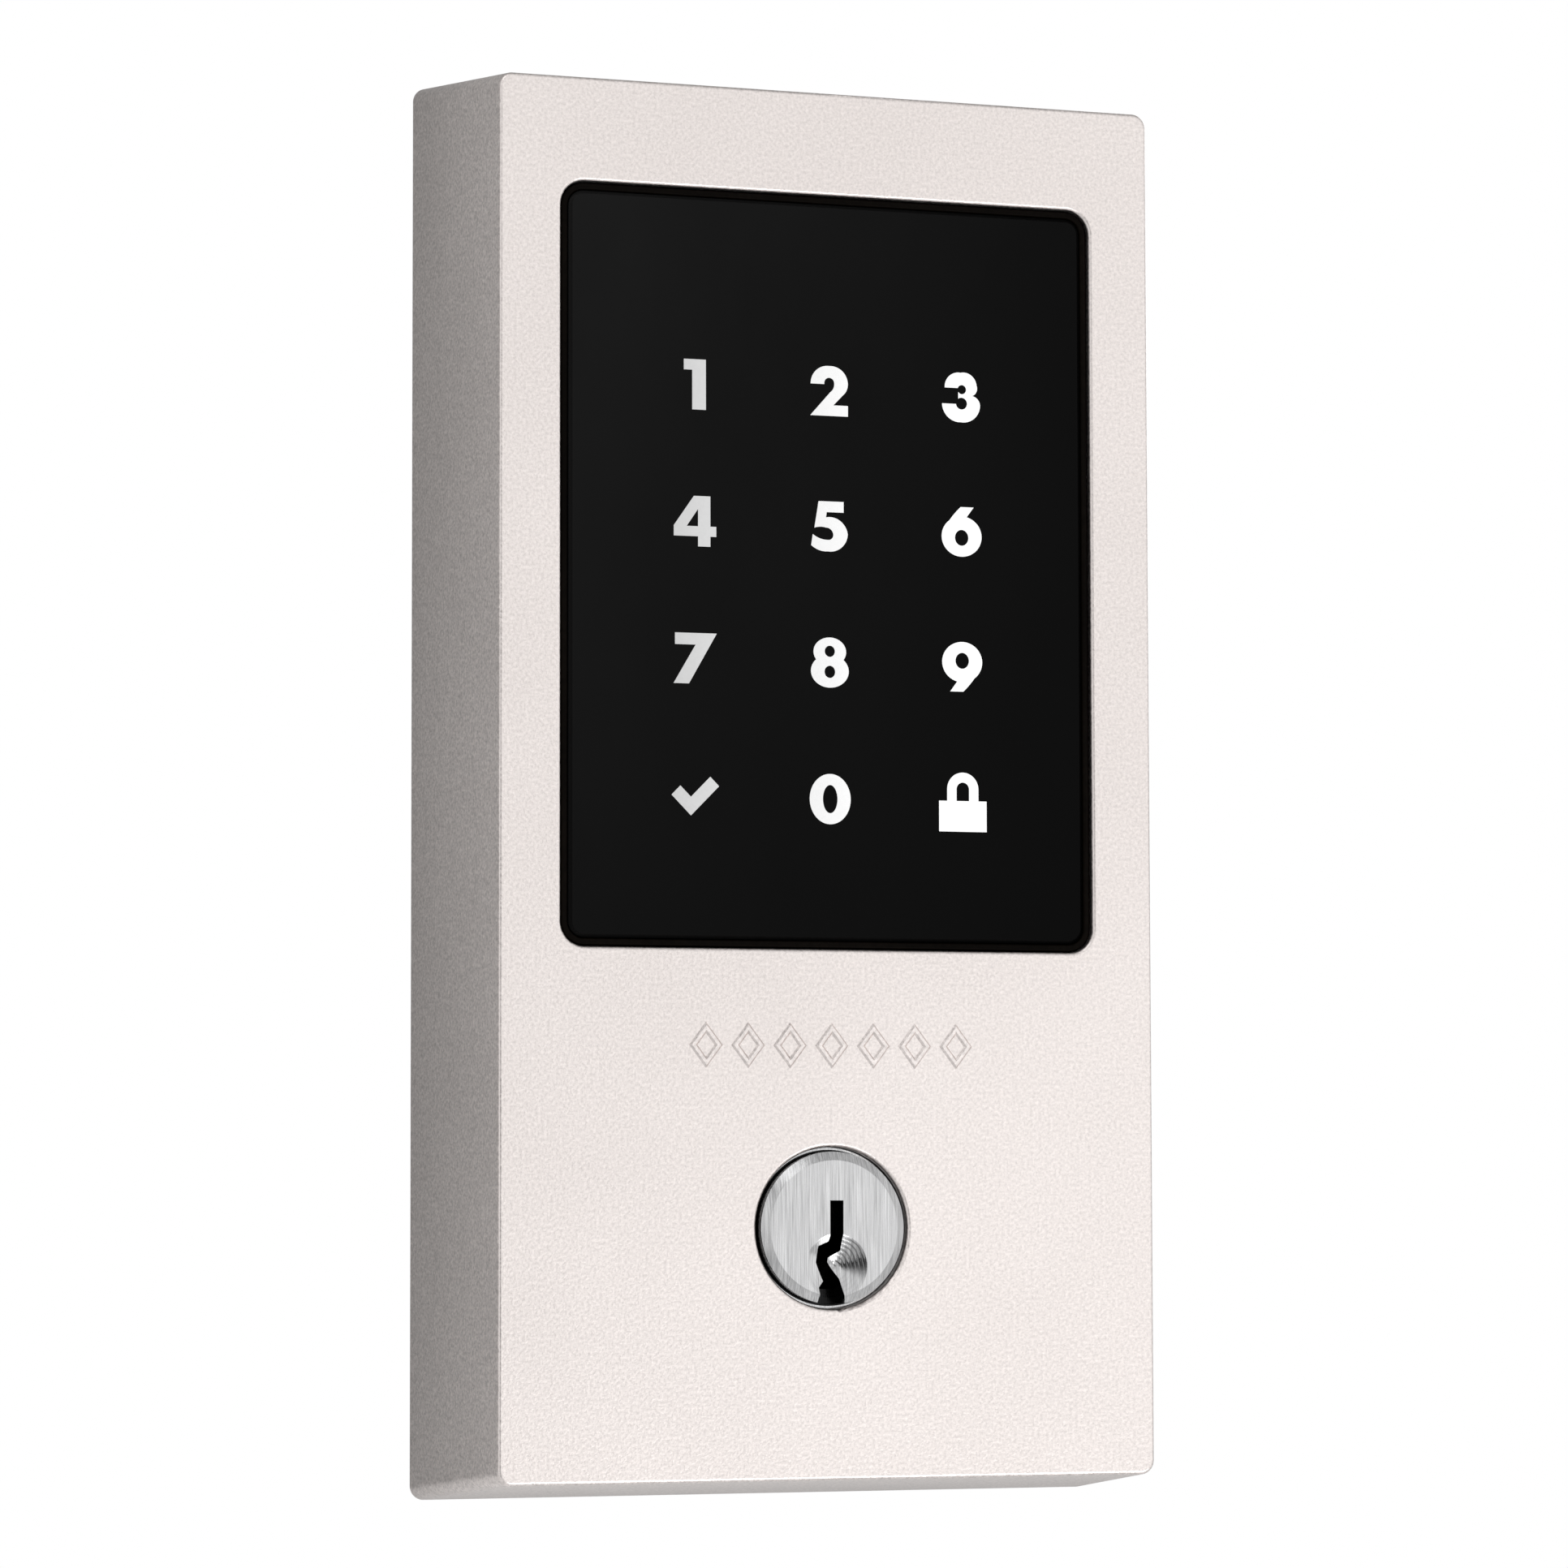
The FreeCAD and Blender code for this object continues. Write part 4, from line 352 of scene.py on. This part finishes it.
MATERIALS = {
    "satin_nickel": satin_nickel(),
    "nickel_bright": brushed_nickel(),
    "brass": metal("brass", (0.62, 0.44, 0.16), (0.80, 0.62, 0.28), lines=(1, 1, 8)),
    "steel": metal(
        "rolled_steel", (0.50, 0.51, 0.53), (0.66, 0.67, 0.69), (0.28, 0.42),
        lines=(1, 1, 0.06), scale=500.0,
    ),
    "dark_steel": metal("spring_steel", (0.22, 0.22, 0.23), (0.38, 0.38, 0.40)),
    "screw_steel": metal("plated_screw", (0.48, 0.49, 0.52), (0.68, 0.69, 0.72), (0.2, 0.34), scale=900.0),
    "glass_black": black_glass(),
    "ink_white": lit_ink(),
    "black_plastic": moulded("black_plastic", (0.0018, 0.0012, 0.0008), (0.0050, 0.0035, 0.0025), ior=1.1),
    "gasket_rubber": moulded("gasket_rubber", 0.010, 0.030, (0.6, 0.8), 900.0, depth=0.05),
    "foam": moulded("foam", 0.03, 0.07, (0.8, 0.95), 700.0, depth=0.15, ior=1.33),
    "tape": moulded("tape", 0.03, 0.05, (0.5, 0.6), 500.0),
    "diffuser": moulded("diffuser", 0.72, 0.82, (0.4, 0.5)),
    "board_green": circuit_board(),
    "chip_black": moulded("chip_black", 0.012, 0.03, (0.45, 0.6), 2500.0),
    "can_metal": metal("tinned_can", (0.62, 0.62, 0.61), (0.78, 0.78, 0.77), (0.22, 0.4), scale=120.0),
    "led_white": moulded("led_white", 0.75, 0.85, (0.2, 0.3)),
    "socket_white": moulded("socket_white", (0.72, 0.69, 0.60), (0.80, 0.77, 0.69)),
    "contact_gold": metal("contact_gold", (0.75, 0.52, 0.18), (0.92, 0.70, 0.30), (0.15, 0.25)),
    "sleeve_black": moulded("sleeve_black", 0.015, 0.03, (0.2, 0.35), 400.0),
}


def finish_cad_nodes():
    """Every CAD node gets the finish of its own slot in the record."""
    for entry in frame["record"]["subparts"]:
        node = NODES[entry["node"]]
        material = MATERIALS[entry["material_slot"]]
        for slot in node.material_slots:
            slot.material = material


# ---------------------------------------------------------------------------------------------------
# Mesh making. Lengths are in metres, in the frame of the CAD model.
# ---------------------------------------------------------------------------------------------------

SHARP_ANGLE = math.radians(32)


def add_piece(name, made, slot, body, *nodes):
    """Turns a bmesh into a piece that rides on a body and stands for CAD nodes."""
    bmesh.ops.remove_doubles(made, verts=made.verts, dist=1e-7)
    bmesh.ops.recalc_face_normals(made, faces=made.faces)
    mesh = bpy.data.meshes.new(name)
    made.to_mesh(mesh)
    made.free()
    mesh.materials.append(MATERIALS[slot])
    piece = bpy.data.objects.new(name, mesh)
    bpy.context.scene.collection.objects.link(piece)
    for polygon in mesh.polygons:
        polygon.use_smooth = True
    mesh.set_sharp_from_angle(angle=SHARP_ANGLE)
    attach(piece, body)
    if nodes:
        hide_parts(*nodes)
    return piece


def solids_of(node):
    """The lowest and highest corner of each separate solid in a CAD node."""
    made = bmesh.new()
    made.from_mesh(NODES[node].data)
    bmesh.ops.remove_doubles(made, verts=made.verts, dist=1e-6)
    waiting = set(made.verts)
    boxes = []
    while waiting:
        found = {waiting.pop()}
        front = list(found)
        while front:
            vertex = front.pop()
            for edge in vertex.link_edges:
                other = edge.other_vert(vertex)
                if other in waiting:
                    waiting.discard(other)
                    found.add(other)
                    front.append(other)
        low = Vector(min(v.co[i] for v in found) for i in range(3))
        high = Vector(max(v.co[i] for v in found) for i in range(3))
        boxes.append((low, high))
    made.free()
    return sorted(boxes, key=lambda box: tuple(round(c, 5) for c in box[0]))


def skin(made, rings):
    """Faces between neighbouring closed rings of vertices."""
    for ring, following in zip(rings, rings[1:]):
        count = len(ring)
        for i in range(count):
            j = (i + 1) % count
            corners = [ring[i], ring[j], following[j], following[i]]
            made.faces.new(list(dict.fromkeys(corners)))


def lathe(made, profile, x, z, segments=32):
    """Turns a profile of (y, radius) about a line along Y at x and z. A radius of 0 closes it."""
    rings = []
    for y, radius in profile:
        if radius == 0:
            rings.append([made.verts.new((x, y, z))] * segments)
            continue
        ring = []
        for i in range(segments):
            angle = 2 * math.pi * i / segments
            ring.append(made.verts.new((x + radius * math.cos(angle), y, z + radius * math.sin(angle))))
        rings.append(ring)
    skin(made, rings)
    return rings


def sweep(made, path, normals, section, closed=False):
    """Carries a section of (sideways, up) pairs along a path. Each normal says which way up is."""
    rings = []
    count = len(path)
    for i, (point, up) in enumerate(zip(path, normals)):
        before = path[i - 1] if closed or i > 0 else path[i]
        after = path[(i + 1) % count] if closed or i < count - 1 else path[i]
        along = (after - before).normalized()
        side = along.cross(up).normalized()
        above = side.cross(along)
        rings.append([made.verts.new(point + side * a + above * b) for a, b in section])
    if closed:
        skin(made, rings + rings[:1])
        return
    skin(made, rings)
    made.faces.new(rings[0])
    made.faces.new(rings[-1])


def circle(radius, sides):
    """A round section."""
    turns = (2 * math.pi * i / sides for i in range(sides))
    return [(radius * math.cos(t), radius * math.sin(t)) for t in turns]


def middle_line(low, high):
    """The x and z of the line along Y through the middle of a box."""
    return (low.x + high.x) / 2, (low.z + high.z) / 2


def threaded(start, end, crest, pitch, depth):
    """A profile of V-shaped grooves from one y to another. There is always at least one groove."""
    turns = max(1, int(abs(end - start) / pitch))
    step = (end - start) / turns
    profile = []
    for i in range(turns):
        profile.append((start + step * (i + 0.1), crest))
        profile.append((start + step * (i + 0.55), crest - depth))
        profile.append((start + step * (i + 0.95), crest))
    return profile


# ---------------------------------------------------------------------------------------------------
# Screws, posts, springs and the other small parts
# ---------------------------------------------------------------------------------------------------


def cross_recess(made, land, y, x, z, reach, depth):
    """Closes a ring of vertices with a flat land that has a tapered cross-shaped recess."""
    half = 0.32 * reach
    taper = 0.45
    plan = []
    for a, b in ((1, 0), (0, 1), (-1, 0), (0, -1)):
        plan.append((a * reach + b * half, b * reach - a * half))
        plan.append((a * reach - b * half, b * reach + a * half))
        plan.append(((a - b) * half, (a + b) * half))
    mouth = [made.verts.new((x + a, y, z + b)) for a, b in plan]
    bottom = [made.verts.new((x + taper * a, y - depth, z + taper * b)) for a, b in plan]
    skin(made, [mouth, bottom])
    made.faces.new(bottom)
    edges = []
    for ring in (land, mouth):
        for i, vertex in enumerate(ring):
            other = ring[(i + 1) % len(ring)]
            edges.append(made.edges.get((vertex, other)) or made.edges.new((vertex, other)))
    bmesh.ops.triangle_fill(made, edges=edges, use_beauty=True)


def screws(name, head_thick, shank, flat=False):
    """Cross-recess screws with cut threads, whose heads are towards the door."""
    made = bmesh.new()
    for low, high in solids_of(name):
        x, z = middle_line(low, high)
        head = (high.x - low.x) / 2
        top = high.y
        seat = top - head_thick
        if flat:
            crown = [
                (seat, shank), (seat + 0.2 * head_thick, 0.85 * head),
                (top - 0.15 * MM, head), (top, 0.94 * head),
            ]
        else:
            crown = [
                (seat, shank), (seat, head), (seat + 0.35 * head_thick, head),
                (seat + 0.75 * head_thick, 0.93 * head), (seat + 0.95 * head_thick, 0.78 * head),
                (top, 0.62 * head),
            ]
        point = [(low.y, 0), (low.y, 0.72 * shank), (low.y + 0.3 * shank, shank)]
        thread = threaded(
            low.y + 0.4 * shank, seat - 0.3 * shank, shank, pitch=0.5 * MM, depth=0.16 * shank
        )
        rings = lathe(made, point + thread + crown, x, z, segments=28)
        cross_recess(made, rings[-1], top, x, z, reach=0.5 * head, depth=0.55 * head_thick)
    add_piece(name + "_turned", made, "screw_steel", "lock_body", name)


def mounting_post(node):
    """Swaged steel post with a threaded bore that is open at the end away from the plate."""
    low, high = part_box(node)
    x, z = middle_line(low, high)
    front, end = low.y, high.y
    head = (high.x - low.x) / 2
    seat = front + 1.0 * MM
    stem = 3.3 * MM
    hole = 2.0 * MM
    profile = [(front, 0), (front, 0.55 * head), (front + 0.12 * MM, 0.8 * head), (front + 0.45 * MM, head)]
    profile += [(seat, head), (seat, stem), (end - 0.5 * MM, stem), (end, stem - 0.5 * MM)]
    profile += [(end, hole + 0.35 * MM), (end - 0.4 * MM, hole)]
    profile += threaded(end - 0.6 * MM, seat + 2.6 * MM, hole, pitch=0.7 * MM, depth=-0.22 * MM)
    profile += [(seat + 2.4 * MM, hole), (seat + 1.6 * MM, 0)]
    made = bmesh.new()
    lathe(made, profile, x, z, segments=40)
    add_piece(node + "_turned", made, "steel", "lock_body", node)


def pin_spring(number):
    """Wound wire with a flat closed turn at each end, as long as its CAD node. It does not shorten here
    when its driver pin rises.
    """
    low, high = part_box(f"pin_spring_{number}")
    length = high.z - low.z
    wire = 0.15 * MM
    radius = (high.x - low.x) / 2 - wire
    y = (low.y + high.y) / 2
    turns, steps = 7.5, 150
    # each closed end takes this share of the wire, and climbs this far
    closed, climb = 0.11, 0.12 * MM
    path = []
    for i in range(steps + 1):
        share = i / steps
        eased = min(1.0, max(0.0, (share - closed) / (1 - 2 * closed)))
        angle = 2 * math.pi * turns * share
        height = low.z + wire + climb * min(share, closed) / closed
        height += (length - 2 * wire - 2 * climb) * eased
        height += climb * max(0.0, share - (1 - closed)) / closed
        path.append(Vector((radius * math.cos(angle), y + radius * math.sin(angle), height)))
    made = bmesh.new()
    sweep(made, path, [Vector((0, 0, 1))] * len(path), circle(wire, sides=8))
    piece = add_piece(f"wound_spring_{number}", made, "dark_steel", "lock_body", f"pin_spring_{number}")
    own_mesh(piece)


def door_gasket():
    """Rubber ring with two rounded lips, on the outline of the plain one."""
    low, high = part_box("door_gasket")
    height = high.y - low.y
    half = 1.0 * MM  # of the strip's width
    corner = 2.0 * MM
    bend = corner - half
    path = []
    for side_x, side_z, first in ((1, -1, -90), (1, 1, 0), (-1, 1, 90), (-1, -1, 180)):
        centre_x = (high.x if side_x > 0 else low.x) - side_x * corner
        centre_z = (high.z if side_z > 0 else low.z) - side_z * corner
        for step in range(9):
            angle = math.radians(first + 90 * step / 8)
            x = centre_x + bend * math.cos(angle)
            z = centre_z + bend * math.sin(angle)
            path.append(Vector((x, low.y, z)))
    section = [(-half, 0.0), (-half, 0.5 * height)]
    for lip in (-0.5, 0.5):
        for turn in (150, 120, 90, 60, 30):
            angle = math.radians(turn)
            across = lip * half + 0.45 * half * math.cos(angle)
            section.append((across, height * (0.55 + 0.45 * math.sin(angle))))
    section += [(half, 0.5 * height), (half, 0.0)]
    made = bmesh.new()
    sweep(made, path, [Vector((0, 1, 0))] * len(path), section, closed=True)
    add_piece("lipped_gasket", made, "gasket_rubber", "lock_body", "door_gasket")


def torque_blade():
    """Flat bar with scored lines where it can be broken to length, on a round head."""
    low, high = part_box("torque_blade")
    front, end = low.y, high.y
    back = front + 1.6 * MM
    head = (high.x - low.x) / 2
    edge = 0.2 * MM
    made = bmesh.new()
    profile = [
        (front, 0), (front, head - edge), (front + edge, head),
        (back - edge, head), (back, head - edge), (back, 0),
    ]
    lathe(made, profile, 0, 0, segments=40)

    # the bar, as sections of place, share of the full width and share of the full thickness
    half_width, half_thick, corner = 2.8 * MM, 1.0 * MM, 0.15 * MM
    first_score, spacing, plain_tip = 22 * MM, 4 * MM, 6 * MM
    sections = [(back - 0.3 * MM, 1.0, 1.0)]
    score = back + first_score
    while score < end - plain_tip:
        sections += [(score - 0.35 * MM, 1.0, 1.0), (score, 0.93, 0.8), (score + 0.35 * MM, 1.0, 1.0)]
        score += spacing
    sections += [(end - 3 * MM, 1.0, 1.0), (end, 1 - 0.8 * MM / half_width, 0.5)]
    rings = []
    for y, width, thick in sections:
        a, b, c = half_thick * thick, half_width * width, corner
        plan = [
            (a - c, -b), (a, c - b), (a, b - c), (a - c, b),
            (c - a, b), (-a, b - c), (-a, c - b), (c - a, -b),
        ]
        rings.append([made.verts.new((x, y, z)) for x, z in plan])
    skin(made, rings)
    made.faces.new(rings[0])
    made.faces.new(rings[-1])
    add_piece("scored_blade", made, "steel", "blade", "torque_blade")


def box(made, low, high, bevel=0.0):
    """A box between two corners, with bevelled edges."""
    size = high - low
    place = Matrix.Translation((low + high) / 2) @ Matrix.Diagonal((*size, 1.0))
    result = bmesh.ops.create_cube(made, size=1.0, matrix=place)
    if bevel:
        edges = list(dict.fromkeys(edge for vertex in result["verts"] for edge in vertex.link_edges))
        bmesh.ops.bevel(
            made, geom=edges, offset=bevel, segments=2, affect="EDGES", profile=0.5, clamp_overlap=True
        )


def chip():
    """Flat chip with leads on its four sides."""
    low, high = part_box("touch_controller")
    made = bmesh.new()
    inset = Vector((0.7, 0.0, 0.7)) * MM
    box(made, low + inset, high - inset - Vector((0, 0.15 * MM, 0)), 0.12 * MM)
    add_piece("chip_case", made, "chip_black", "lock_body", "touch_controller")
    leads = bmesh.new()
    count, pitch = 12, 0.65 * MM
    middle = (low + high) / 2
    reach = (high.x - low.x) / 2 - 0.45 * MM
    for i in range(count):
        shift = (i - (count - 1) / 2) * pitch
        for side in (-1, 1):
            for upright in (False, True):
                x = middle.x + (shift if upright else side * reach)
                z = middle.z + (side * reach if upright else shift)
                half = Vector((0.13, 0.0, 0.45) if upright else (0.45, 0.0, 0.13)) * MM
                base = Vector((x, low.y, z))
                box(leads, base - half, base + half + Vector((0, 0.25 * MM, 0)))
    add_piece("chip_leads", leads, "can_metal", "lock_body")


def capacitors():
    """Sleeved cans with a rolled neck and a scored top."""
    made = bmesh.new()
    for low, high in solids_of("capacitors"):
        x, z = middle_line(low, high)
        base, top = low.y, high.y
        r = (high.x - low.x) / 2
        profile = [
            (base, 0), (base, 0.9 * r), (base + 0.2 * MM, r), (base + 0.7 * MM, r),
            (base + 1.0 * MM, 0.88 * r), (base + 1.3 * MM, r), (top - 0.25 * MM, r),
            (top - 0.05 * MM, 0.9 * r), (top, 0.8 * r), (top - 0.15 * MM, 0.72 * r), (top - 0.15 * MM, 0),
        ]
        lathe(made, profile, x, z)
    add_piece("rolled_capacitors", made, "sleeve_black", "lock_body", "capacitors")


def passives():
    """Rows of small resistors and capacitors on the back of the circuit board."""
    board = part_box("keypad_board")[1].y
    # x and z of the top one of each row, and how many there are, all in millimetres
    rows = ((-24, 92, 6), (-24, 72, 5), (-5, 93, 5), (2, 64, 4), (20, 52, 3))
    spacing = 1.5
    half = Vector((0.8, 0, 0.4)) * MM
    half_cap = Vector((0.17, 0, 0.43)) * MM
    tall = Vector((0, 0.45 * MM, 0))
    made = bmesh.new()
    ends = bmesh.new()
    for x, z, count in rows:
        for i in range(count):
            base = Vector((x * MM, board, (z - spacing * i) * MM))
            box(made, base - half, base + half + tall, 0.05 * MM)
            for side in (-1, 1):
                cap = base + Vector((side * 0.68 * MM, 0, 0))
                box(ends, cap - half_cap, cap + half_cap + tall * 1.06)
    add_piece("passives", made, "chip_black", "lock_body")
    add_piece("passive_ends", ends, "can_metal", "lock_body")


def small_parts():
    screws("plate_screws", head_thick=0.85 * MM, shank=1.5 * MM, flat=True)
    screws("cover_screws", head_thick=1.4 * MM, shank=1.5 * MM)
    screws("yoke_screws", head_thick=1.4 * MM, shank=1.5 * MM)
    screws("board_screws", head_thick=1.0 * MM, shank=1.0 * MM)
    mounting_post("mounting_post_left")
    mounting_post("mounting_post_right")
    for number in range(1, 6):
        pin_spring(number)
    door_gasket()
    torque_blade()
    chip()
    capacitors()
    passives()


# ---------------------------------------------------------------------------------------------------
# Stage, light and camera. Lengths are in metres.
# ---------------------------------------------------------------------------------------------------

FLOOR_RADIUS = 6.0
FLOOR_DROP = 1.2


def world():
    """White behind the object. Around it a bright front, greyer sides and back, and a dark patch."""
    made = bpy.data.worlds.new("studio")
    bpy.context.scene.world = made
    made.use_nodes = True
    tree = made.node_tree
    nodes, links = tree.nodes, tree.links
    nodes.clear()
    direction = nodes.new("ShaderNodeTexCoord").outputs["Generated"]

    def towards(place, *stops):
        """A grey ramp over the angle from a direction. 1 is right at it, 0 is opposite."""
        dot = nodes.new("ShaderNodeVectorMath")
        dot.operation = "DOT_PRODUCT"
        dot.inputs[1].default_value = Vector(place).normalized()
        links.new(direction, dot.inputs[0])
        remap = nodes.new("ShaderNodeMapRange")
        remap.inputs["From Min"].default_value = -1
        links.new(dot.outputs["Value"], remap.inputs["Value"])
        ramp = nodes.new("ShaderNodeValToRGB")
        while len(ramp.color_ramp.elements) < len(stops):
            ramp.color_ramp.elements.new(0.5)
        for element, (position, grey) in zip(ramp.color_ramp.elements, stops):
            element.position = position
            element.color = (grey, grey, grey, 1)
        links.new(remap.outputs["Result"], ramp.inputs["Fac"])
        return ramp.outputs["Color"]

    front = towards(
        (0.36, -0.85, -0.55), (0.0, 0.38), (0.12, 0.37), (0.30, 0.37), (0.45, 0.40), (0.72, 0.84),
        (0.877, 1.01), (0.933, 1.07), (0.98, 1.45)
    )
    dark = towards((-0.22, -0.94, -0.24), (0.0, 1.0), (0.94, 1.0), (0.985, 0.05), (1.0, 0.05))
    both = nodes.new("ShaderNodeMix")
    both.data_type = "RGBA"
    both.blend_type = "MULTIPLY"
    both.inputs["Factor"].default_value = 1.0
    links.new(front, both.inputs[6])
    links.new(dark, both.inputs[7])
    around = nodes.new("ShaderNodeBackground")
    links.new(both.outputs[2], around.inputs["Color"])
    behind = nodes.new("ShaderNodeBackground")
    behind.inputs["Color"].default_value = (1, 1, 1, 1)
    path = nodes.new("ShaderNodeLightPath")
    mix = nodes.new("ShaderNodeMixShader")
    links.new(path.outputs["Is Camera Ray"], mix.inputs["Fac"])
    links.new(around.outputs["Background"], mix.inputs[1])
    links.new(behind.outputs["Background"], mix.inputs[2])
    output = nodes.new("ShaderNodeOutputWorld")
    links.new(mix.outputs["Shader"], output.inputs["Surface"])


def floor():
    """Pale floor well below the unit, which hangs free in the air."""
    mesh = bpy.data.meshes.new("floor")
    made = bmesh.new()
    bmesh.ops.create_circle(made, cap_ends=True, segments=96, radius=FLOOR_RADIUS)
    made.to_mesh(mesh)
    made.free()
    plane = bpy.data.objects.new("floor", mesh)
    bpy.context.scene.collection.objects.link(plane)
    plane.location.z = cad_low.z - FLOOR_DROP
    look = Look("floor", Roughness=0.9, Emission_Strength=0.22)
    look.shader.inputs["Emission Color"].default_value = (1, 1, 1, 1)
    colour = look.ramp(look.noise(3.0), (0.3, 0.86), (0.7, 0.88))
    mesh.materials.append(look.feed(Base_Color=colour).material)


def softbox(name, place, target, width, height, power):
    """Rectangular lamp that points at a target. Its power is in watts."""
    light = bpy.data.lights.new(name, "AREA")
    light.shape = "RECTANGLE"
    light.size = width
    light.size_y = height
    light.energy = power
    lamp = bpy.data.objects.new(name, light)
    bpy.context.scene.collection.objects.link(lamp)
    lamp.location = place
    lamp.rotation_euler = (Vector(target) - Vector(place)).to_track_quat("-Z", "Y").to_euler()


def lights():
    middle = (cad_low + cad_high) / 2
    softbox("key", (-0.45, -0.75, 1.10), middle, width=0.8, height=0.7, power=2.0)
    softbox("fill", (-1.1, -0.9, 0.1), middle, width=0.8, height=1.2, power=1.0)
    softbox("low", (0.33, -0.72, -0.42), middle, width=0.35, height=0.3, power=1.2)
    softbox("back", (1.0, 1.1, 0.6), middle, width=0.8, height=0.8, power=4.0)


def camera():
    """Seen from the unit's left and a little below, through a long lens."""
    azimuth, elevation, roll = (math.radians(angle) for angle in (-20.084, -4.180, -0.131))
    place = Vector((-212.76, -591.51, 2.19)) * MM
    level = math.cos(elevation)
    back = Vector((math.sin(azimuth) * level, -math.cos(azimuth) * level, math.sin(elevation)))
    right = Vector((math.cos(azimuth), math.sin(azimuth), 0))
    up = back.cross(right)
    rolled_right = right * math.cos(roll) + up * math.sin(roll)
    rolled_up = up * math.cos(roll) - right * math.sin(roll)
    data = bpy.data.cameras.new("camera")
    data.sensor_width = 36
    data.lens = 132.86
    data.clip_start = 0.01
    made = bpy.data.objects.new("camera", data)
    bpy.context.scene.collection.objects.link(made)
    turn = Matrix((rolled_right, rolled_up, back)).transposed().to_4x4()
    made.matrix_world = Matrix.Translation(place) @ turn
    bpy.context.scene.camera = made


finish_cad_nodes()
small_parts()
world()
floor()
lights()
camera()
bpy.context.scene.view_settings.view_transform = "Standard"
